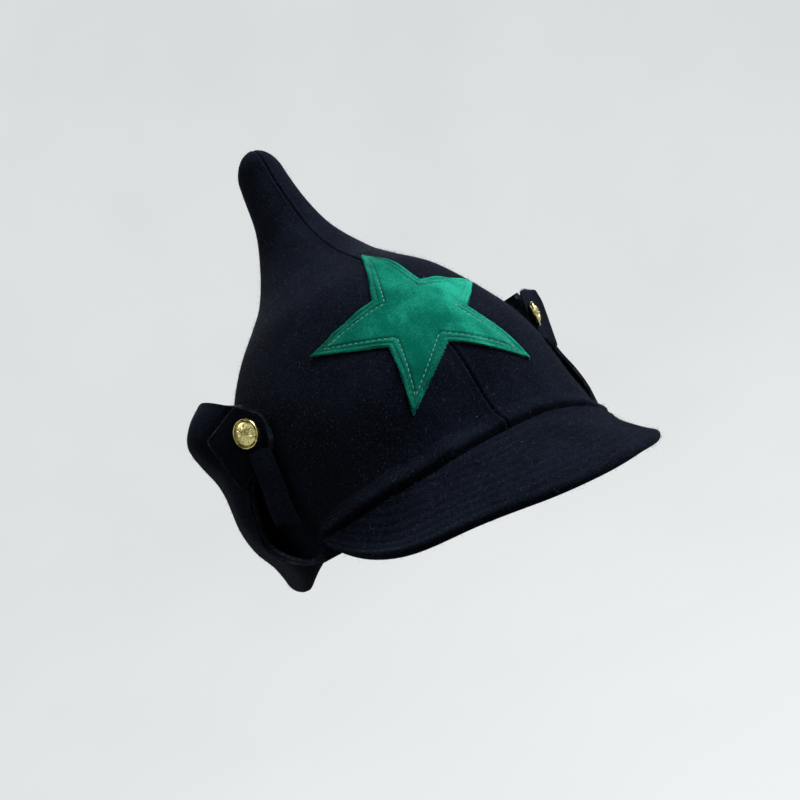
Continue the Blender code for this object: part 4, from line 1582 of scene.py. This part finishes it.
class CAP_OT_lappets(bpy.types.Operator):
    """Buttoned ends of the guard and the folded strips inside its wings"""

    bl_idname = "cap.lappets"
    bl_label = "Lappets and tongues"

    def execute(self, context):
        for name, end in BUTTONED_ENDS.items():
            self.make_lappet(name, end)
            self.make_tongue(name, end.side)
        return {"FINISHED"}

    def make_lappet(self, name, end):
        around, rings = 140, 26
        angle = np.linspace(0.0, 360.0, around + 1)[None, :]
        share = np.append(np.linspace(LAPPET_MIDDLE, LAPPET_BORDER, rings), 1.0)[:, None]
        angle, share = np.broadcast_arrays(angle, share)
        pillow = LAPPET_PILLOW * (1 - share ** 6)
        points = lappet_points(end, angle, share, pillow)
        if end.side > 0:
            points = points[:, ::-1]
        piece = new_cloth(f"lappet_ply_{name}", around, rings)
        lay(piece, points)
        piece.data.materials.append(finishes()["felt"])
        piece.data.materials.append(finishes()["edge"])
        ring = np.repeat(np.arange(rings), around)
        mark_faces(piece, 1, ring >= rings - 1)
        sew_ring(piece)
        finish_with(piece, "SOLIDIFY", thickness=LAPPET_THICKNESS, offset=0.0,
                    use_quality_normals=True, material_offset_rim=1)
        finish_with(piece, "BEVEL", width=FOLD_BEVEL, segments=2, limit_method="ANGLE",
                    angle_limit=math.radians(55.0))
        round_look(piece, 50.0)
        give(piece, "wool_felt")
        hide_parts(f"lappet_{name}")
        self.fluff_rim(name, end)

    def fluff_rim(self, name, end):
        chance = np.random.default_rng(23)
        angle = chance.uniform(0.0, 360.0, LAPPET_HAIRS)
        out = chance.uniform(-0.5, 0.5, LAPPET_HAIRS) * LAPPET_THICKNESS
        places = lappet_points(end, angle, np.full(LAPPET_HAIRS, RIM_HAIR_ROOTS), out)
        further = lappet_points(end, angle, np.full(LAPPET_HAIRS, RIM_HAIR_AIM), out)
        add_hairs(f"lappet_edge_hairs_{name}", places, unit(further - places),
                  FELT_HAIR_LENGTH, EDGE_HAIR_THICKNESS, EDGE_HAIR_LIE, 31, "wool_felt",
                  finishes()["edge hair"])

    def make_tongue(self, name, side):
        columns, rows = 34, 64
        across = np.linspace(-1.0, 1.0, columns + 1)[None, :]
        down = np.linspace(1.0, 0.0, rows + 1)[:, None]
        tip = (TIP_SLANT * across - TIP_ROUND * across ** 4) * ramp(down, *TONGUE_TIP_PLACE)
        z = TONGUE_TOP + TONGUE_ABOVE - (TONGUE_LENGTH + TONGUE_EXTRA) * down + tip
        around = np.linalg.norm(inner_point(z, np.full_like(z, TONGUE_TURN + 1))
                                - inner_point(z, np.full_like(z, TONGUE_TURN - 1)), axis=-1)
        fit = TONGUE_FITS[name]
        turn = TONGUE_TURN + fit.back + across * TONGUE_SLIMNESS * TONGUE_WIDTH / around
        hem = TONGUE_HEM * ramp(down, *TONGUE_HEM_PLACE)
        swing = TONGUE_LEAN * (1 + across) + TONGUE_BOW * (1 - across * across)
        out = TONGUE_GAP + TONGUE_THICKNESS + swing * fit.swing + hem
        points = outer_point(z, side * turn, out)
        if side < 0:
            points = points[:, ::-1]
        piece = new_cloth(f"tongue_ply_{name}", columns, rows)
        lay(piece, points)
        piece.data.materials.append(finishes()["felt"])
        piece.data.materials.append(finishes()["edge"])
        finish_with(piece, "SOLIDIFY", thickness=TONGUE_THICKNESS, offset=-1.0,
                    use_quality_normals=True, material_offset_rim=1)
        finish_with(piece, "BEVEL", width=FOLD_BEVEL, segments=2, limit_method="ANGLE",
                    angle_limit=math.radians(55.0))
        round_look(piece, 50.0)
        give(piece, "wool_felt")
        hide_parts(f"tongue_{name}")


class CAP_OT_buttons(bpy.types.Operator):
    """Two domed brass buttons with a raised rim and a plain rosette"""

    bl_idname = "cap.buttons"
    bl_label = "Buttons"

    def execute(self, context):
        for name, end in BUTTONED_ENDS.items():
            piece = self.make_button(f"brass_button_{name}")
            base, axis, _, rise = button_frame(end)
            turn = Vector(axis).to_track_quat("Z", "Y").to_matrix().to_4x4()
            tilt = Matrix.Rotation(end.side * math.radians(end.tilt), 4, Vector(rise))
            seat = Matrix.Translation(Vector(base + axis * BUTTON_LIFT))
            piece.data.transform(seat @ tilt @ turn)
            give(piece, "brass", finishes()["brass"])
            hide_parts(f"button_{name}")
        return {"FINISHED"}

    def make_button(self, name):
        radius = BUTTON_DIAMETER / 2 * BRASS_SHARE
        profile = [(share * radius, height) for share, height in BUTTON_PROFILE]
        body = turned(name, 72, profile)
        finish_with(body, "BEVEL", width=BRASS_BEVEL, segments=2, limit_method="ANGLE",
                    angle_limit=math.radians(25.0))
        petals = self.rosette(radius, PETALS)
        boss = self.bead((radius * BOSS_RADIUS, radius * BOSS_RADIUS, RELIEF))
        lay(boss, corners_of(boss) + np.array((0.0, 0.0, BOSS_HEIGHT)))
        for relief in (petals, boss):
            take(body)
            relief.select_set(True)
            bpy.ops.object.join()
        round_look(body, 50.0)
        return body

    def bead(self, scale):
        deselect_all()
        bpy.ops.mesh.primitive_uv_sphere_add(segments=16, ring_count=10, radius=1.0)
        bead = bpy.context.object
        lay(bead, corners_of(bead) * np.array(scale))
        return bead

    def rosette(self, radius, count):
        petal = self.bead((radius * PETAL_LENGTH, radius * PETAL_WIDTH, RELIEF))
        angles = np.linspace(0.0, 2 * math.pi, count + 1)[:-1]
        ring = radius * PETAL_RING
        places = np.stack((ring * np.cos(angles), ring * np.sin(angles),
                           np.full(count, PETAL_HEIGHT)), axis=1)
        frames = np.stack((np.stack((np.cos(angles), np.sin(angles), 0 * angles - PETAL_SLOPE),
                                    axis=1),
                           np.stack((-np.sin(angles), np.cos(angles), 0 * angles), axis=1),
                           np.tile((0.0, 0.0, 1.0), (count, 1))), axis=1)
        petals = joined_copies("petals", petal, places, frames)
        discard(petal)
        return petals


# Stray wool

def facing_out(points, normals):
    """1 where a gore's face looks away from the crown's middle line, 0 elsewhere."""
    crown_middle = 0.01
    away = np.stack((points[:, 0], points[:, 1] - crown_middle, 0 * points[:, 2]), axis=1)
    return (np.sum(normals * away, axis=1) > 0.0) + 0.0


class CAP_OT_wool(bpy.types.Operator):
    """Short stray hairs of the felt"""

    bl_idname = "cap.wool"
    bl_label = "Stray wool"

    def execute(self, context):
        sizes = context.scene.cap_wool
        for number, (source, count) in enumerate((
                ("felt_gore_right", sizes.crown_hairs), ("felt_gore_left", sizes.crown_hairs),
                ("felt_gore_back", sizes.crown_hairs), ("stitched_visor", sizes.visor_hairs),
                ("visor_roll", sizes.visor_hairs // 4), ("guard_outer_ply", sizes.guard_hairs))):
            piece = bpy.data.objects[source]
            wanted = facing_out if source.startswith("felt_gore") else None
            places, normals = scatter(piece, count, 40 + number, wanted)
            add_hairs(f"{source}_hairs", places, normals, sizes.length, sizes.thickness,
                      STRAY_LIE, 60 + number, "wool_felt", finishes()["hair"])
        return {"FINISHED"}


# Studio

def camera_axes():
    """The picture's right, up and back directions."""
    az, el, roll = CAMERA_AZIMUTH, CAMERA_ELEVATION, CAMERA_ROLL
    back = Vector((math.sin(az) * math.cos(el), -math.cos(az) * math.cos(el), math.sin(el)))
    level = Vector((math.cos(az), math.sin(az), 0.0))
    over = back.cross(level)
    right = level * math.cos(roll) - over * math.sin(roll)
    up = level * math.sin(roll) + over * math.cos(roll)
    return right, up, back


class CAP_OT_studio(bpy.types.Operator):
    """Pale floor that sweeps up behind the cap, soft lights and the camera"""

    bl_idname = "cap.studio"
    bl_label = "Studio"

    def execute(self, context):
        sizes = context.scene.cap_studio
        self.make_sweep(sizes)
        self.make_lights(sizes)
        self.make_camera()
        return {"FINISHED"}

    def make_sweep(self, sizes):
        floor, reach, curve = -0.42, 1.3, 1.6
        profile = [(0.05, floor), (reach, floor)]
        for angle in np.radians(np.linspace(6.0, 90.0, 15)):
            profile.append((reach + curve * math.sin(angle), floor + curve * (1 - math.cos(angle))))
        profile.append((reach + curve + 0.05, floor + curve + 3.0))
        sweep = turned("paper_sweep", 96, profile)
        heights = corners_of(sweep)[:, 2]
        select_vertices(sweep, heights > heights.max() - 0.001)
        bpy.ops.mesh.delete(type="ONLY_FACE")
        bpy.ops.mesh.select_all(action="SELECT")
        bpy.ops.mesh.flip_normals()
        bpy.ops.object.mode_set(mode="OBJECT")
        round_look(sweep, 60.0)
        sweep.data.materials.append(make_paper("studio_paper", sizes.paper, sizes.glow))
        sweep.visible_diffuse = False

    def make_lights(self, sizes):
        right, up, back = camera_axes()
        middle = Vector((0.0, 0.0, 0.08))
        for name, place, size, power in (
                ("soft_key", (0.75, 1.30, 0.85), 0.9, sizes.key),
                ("soft_top", (0.60, 1.75, 0.10), 1.4, sizes.top),
                ("soft_side", (-1.55, 0.8, -0.25), 1.1, sizes.side),
                ("soft_back", (-0.5, 1.0, -1.6), 1.4, sizes.back)):
            light = bpy.data.lights.new(name, "AREA")
            light.shape = "DISK"
            light.size = size
            light.energy = power
            lamp = bpy.data.objects.new(name, light)
            bpy.context.scene.collection.objects.link(lamp)
            lamp.location = middle + right * place[0] + up * place[1] + back * place[2]
            lamp.rotation_euler = (middle - lamp.location).to_track_quat("-Z", "Y").to_euler()
        world = bpy.data.worlds.new("studio_air")
        world.use_nodes = True
        air = world.node_tree.nodes["Background"]
        air.inputs["Color"].default_value = (0.95, 0.98, 1.0, 1.0)
        air.inputs["Strength"].default_value = sizes.air
        bpy.context.scene.world = world
        bpy.context.scene.view_settings.view_transform = "Standard"

    def make_camera(self):
        camera = bpy.data.cameras.new("picture_camera")
        camera.sensor_width = 36.0
        camera.lens = CAMERA_LENS
        camera.shift_x, camera.shift_y = CAMERA_SHIFT
        camera.clip_start = 0.01
        eye = bpy.data.objects.new("picture_camera", camera)
        bpy.context.scene.collection.objects.link(eye)
        turn = Matrix(camera_axes()).transposed().to_4x4()
        eye.matrix_world = Matrix.Translation(CAMERA_PLACE) @ turn
        bpy.context.scene.camera = eye


# Sizes and colours that a user would change

def length(name, description, default):
    """A property for a length."""
    return FloatProperty(name=name, description=description, default=default, unit="LENGTH",
                         precision=5, min=0.0)


def colour(name, description, default):
    """A property for a colour."""
    return FloatVectorProperty(name=name, description=description, default=default,
                               subtype="COLOR", size=3, min=0.0, max=1.0)


class CapCrown(bpy.types.PropertyGroup):
    slack: length("Dents", "Depth of the soft dents in the felt", 0.0006)
    seam_width: length("Seam width", "Half width of the dip at a seam", 0.0006)
    seam_depth: length("Seam depth", "How far a seam is drawn in", 0.0007)


class CapVisor(bpy.types.PropertyGroup):
    ridge_pitch: length("Ring pitch", "Distance between the stitched rings", 0.0048)
    ridge_depth: length("Ring depth", "Depth of the stitched rings", 0.00016)
    stitch_length: length("Stitch length", "Length of one stitch", 0.0026)


class CapStar(bpy.types.PropertyGroup):
    thickness: length("Thickness", "Thickness of the velvet", 0.0012)
    outer_row: length("Outer row", "Distance of the outer stitches from the notches", 0.0019)
    inner_row: length("Inner row", "Distance of the inner stitches from the notches", 0.0048)
    stitch_length: length("Stitch length", "Length of one stitch", 0.0017)
    stitch_gap: length("Stitch gap", "Gap between two stitches", 0.0009)


class CapGuard(bpy.types.PropertyGroup):
    ply: length("Ply", "Thickness of each of the guard's two plies", 0.0016)


class CapWool(bpy.types.PropertyGroup):
    length: length("Length", "Length of a stray hair", 0.0016)
    thickness: length("Thickness", "Thickness of a stray hair", 0.00006)
    crown_hairs: IntProperty(name="Gore hairs", description="Hairs on each gore",
                             default=9000, min=0)
    visor_hairs: IntProperty(name="Visor hairs", description="Hairs on the visor",
                             default=6000, min=0)
    guard_hairs: IntProperty(name="Guard hairs", description="Hairs on the neck guard",
                             default=8000, min=0)


class CapColours(bpy.types.PropertyGroup):
    felt_dark: colour("Felt, dark", "Darkest colour of the felt", (0.0004, 0.0009, 0.0024))
    felt_light: colour("Felt, light", "Lightest colour of the felt", (0.0050, 0.0078, 0.0160))
    stray: colour("Stray hair", "Colour of the palest wool hairs", (0.0800, 0.0950, 0.1250))
    sheen: colour("Sheen", "Colour of the fuzz seen edge on", (0.25, 0.35, 0.60))
    raw_edge: colour("Cut edge", "Colour of the felt's fluffy cut edges", (0.0420, 0.0480, 0.0640))
    # The velvet's two colours span its brushed pile, and also the painted light on the star's far
    # side and the painted shade on its near side.
    velvet_dark: colour("Velvet, dark", "Velvet with its pile brushed away",
                        (0.0003, 0.0900, 0.0600))
    velvet_light: colour("Velvet, light", "Velvet with its pile brushed towards the light",
                         (0.0160, 0.3200, 0.2150))
    velvet_sheen: colour("Velvet sheen", "Colour of the pile seen edge on", (0.25, 0.85, 0.65))
    velvet_edge: colour("Velvet edge", "Colour of the star's cut edge", (0.2000, 0.5600, 0.4500))
    navy_thread: colour("Navy thread", "Thread of the felt's seams", (0.0100, 0.0130, 0.0260))
    green_thread: colour("Green thread", "Thread of the star's outer row",
                         (0.0100, 0.1100, 0.0750))
    pale_thread: colour("Pale thread", "Thread of the star's inner row",
                        (0.1700, 0.4000, 0.3100))
    brass: colour("Brass", "Polished brass", (0.6000, 0.5400, 0.2500))
    brass_low: colour("Brass, low", "Brass in the low places", (0.2400, 0.2000, 0.0700))


class CapStudio(bpy.types.PropertyGroup):
    paper: colour("Paper", "Colour of the studio paper", (0.80, 0.825, 0.83))
    glow: FloatProperty(name="Glow", description="How evenly the paper itself is lit",
                        default=0.87, min=0.0)
    key: FloatProperty(name="Key light", description="Power of the key light", default=12.0,
                       unit="POWER", min=0.0)
    top: FloatProperty(name="Top light", description="Power of the top light", default=58.0,
                       unit="POWER", min=0.0)
    side: FloatProperty(name="Side light", description="Power of the side light", default=12.0,
                        unit="POWER", min=0.0)
    back: FloatProperty(name="Back light", description="Power of the light from behind",
                        default=20.0, unit="POWER", min=0.0)
    air: FloatProperty(name="Air", description="Strength of the light from all round",
                       default=0.036, min=0.0)


class CAP_PT_felt_cap(bpy.types.Panel):
    """Lists the cap's pieces, each with its own button"""

    bl_idname = "CAP_PT_felt_cap"
    bl_label = "Felt cap"
    bl_space_type = "VIEW_3D"
    bl_region_type = "UI"
    bl_category = "Felt cap"

    def draw(self, context):
        for operator in OPERATORS:
            self.layout.operator(operator.bl_idname)
        for group in GROUPS:
            box = self.layout.box()
            for name in GROUPS[group].__annotations__:
                box.prop(getattr(context.scene, group), name)


GROUPS = {
    "cap_crown": CapCrown,
    "cap_visor": CapVisor,
    "cap_star": CapStar,
    "cap_guard": CapGuard,
    "cap_wool": CapWool,
    "cap_colours": CapColours,
    "cap_studio": CapStudio,
}
OPERATORS = (CAP_OT_crown, CAP_OT_visor, CAP_OT_star, CAP_OT_guard, CAP_OT_lappets,
             CAP_OT_buttons, CAP_OT_wool, CAP_OT_studio)


def register():
    """Adds the sizes, the operators and the panel."""
    for group in GROUPS:
        bpy.utils.register_class(GROUPS[group])
        setattr(bpy.types.Scene, group, PointerProperty(type=GROUPS[group]))
    for operator in OPERATORS:
        bpy.utils.register_class(operator)
    bpy.utils.register_class(CAP_PT_felt_cap)


def unregister():
    """Takes away what register added."""
    bpy.utils.unregister_class(CAP_PT_felt_cap)
    for operator in OPERATORS:
        bpy.utils.unregister_class(operator)
    for group in GROUPS:
        delattr(bpy.types.Scene, group)
        bpy.utils.unregister_class(GROUPS[group])


def main():
    """Makes every piece in order."""
    register()
    bpy.ops.cap.crown()
    bpy.ops.cap.visor()
    bpy.ops.cap.star()
    bpy.ops.cap.guard()
    bpy.ops.cap.lappets()
    bpy.ops.cap.buttons()
    bpy.ops.cap.wool()
    bpy.ops.cap.studio()


if __name__ == "__main__":
    main()
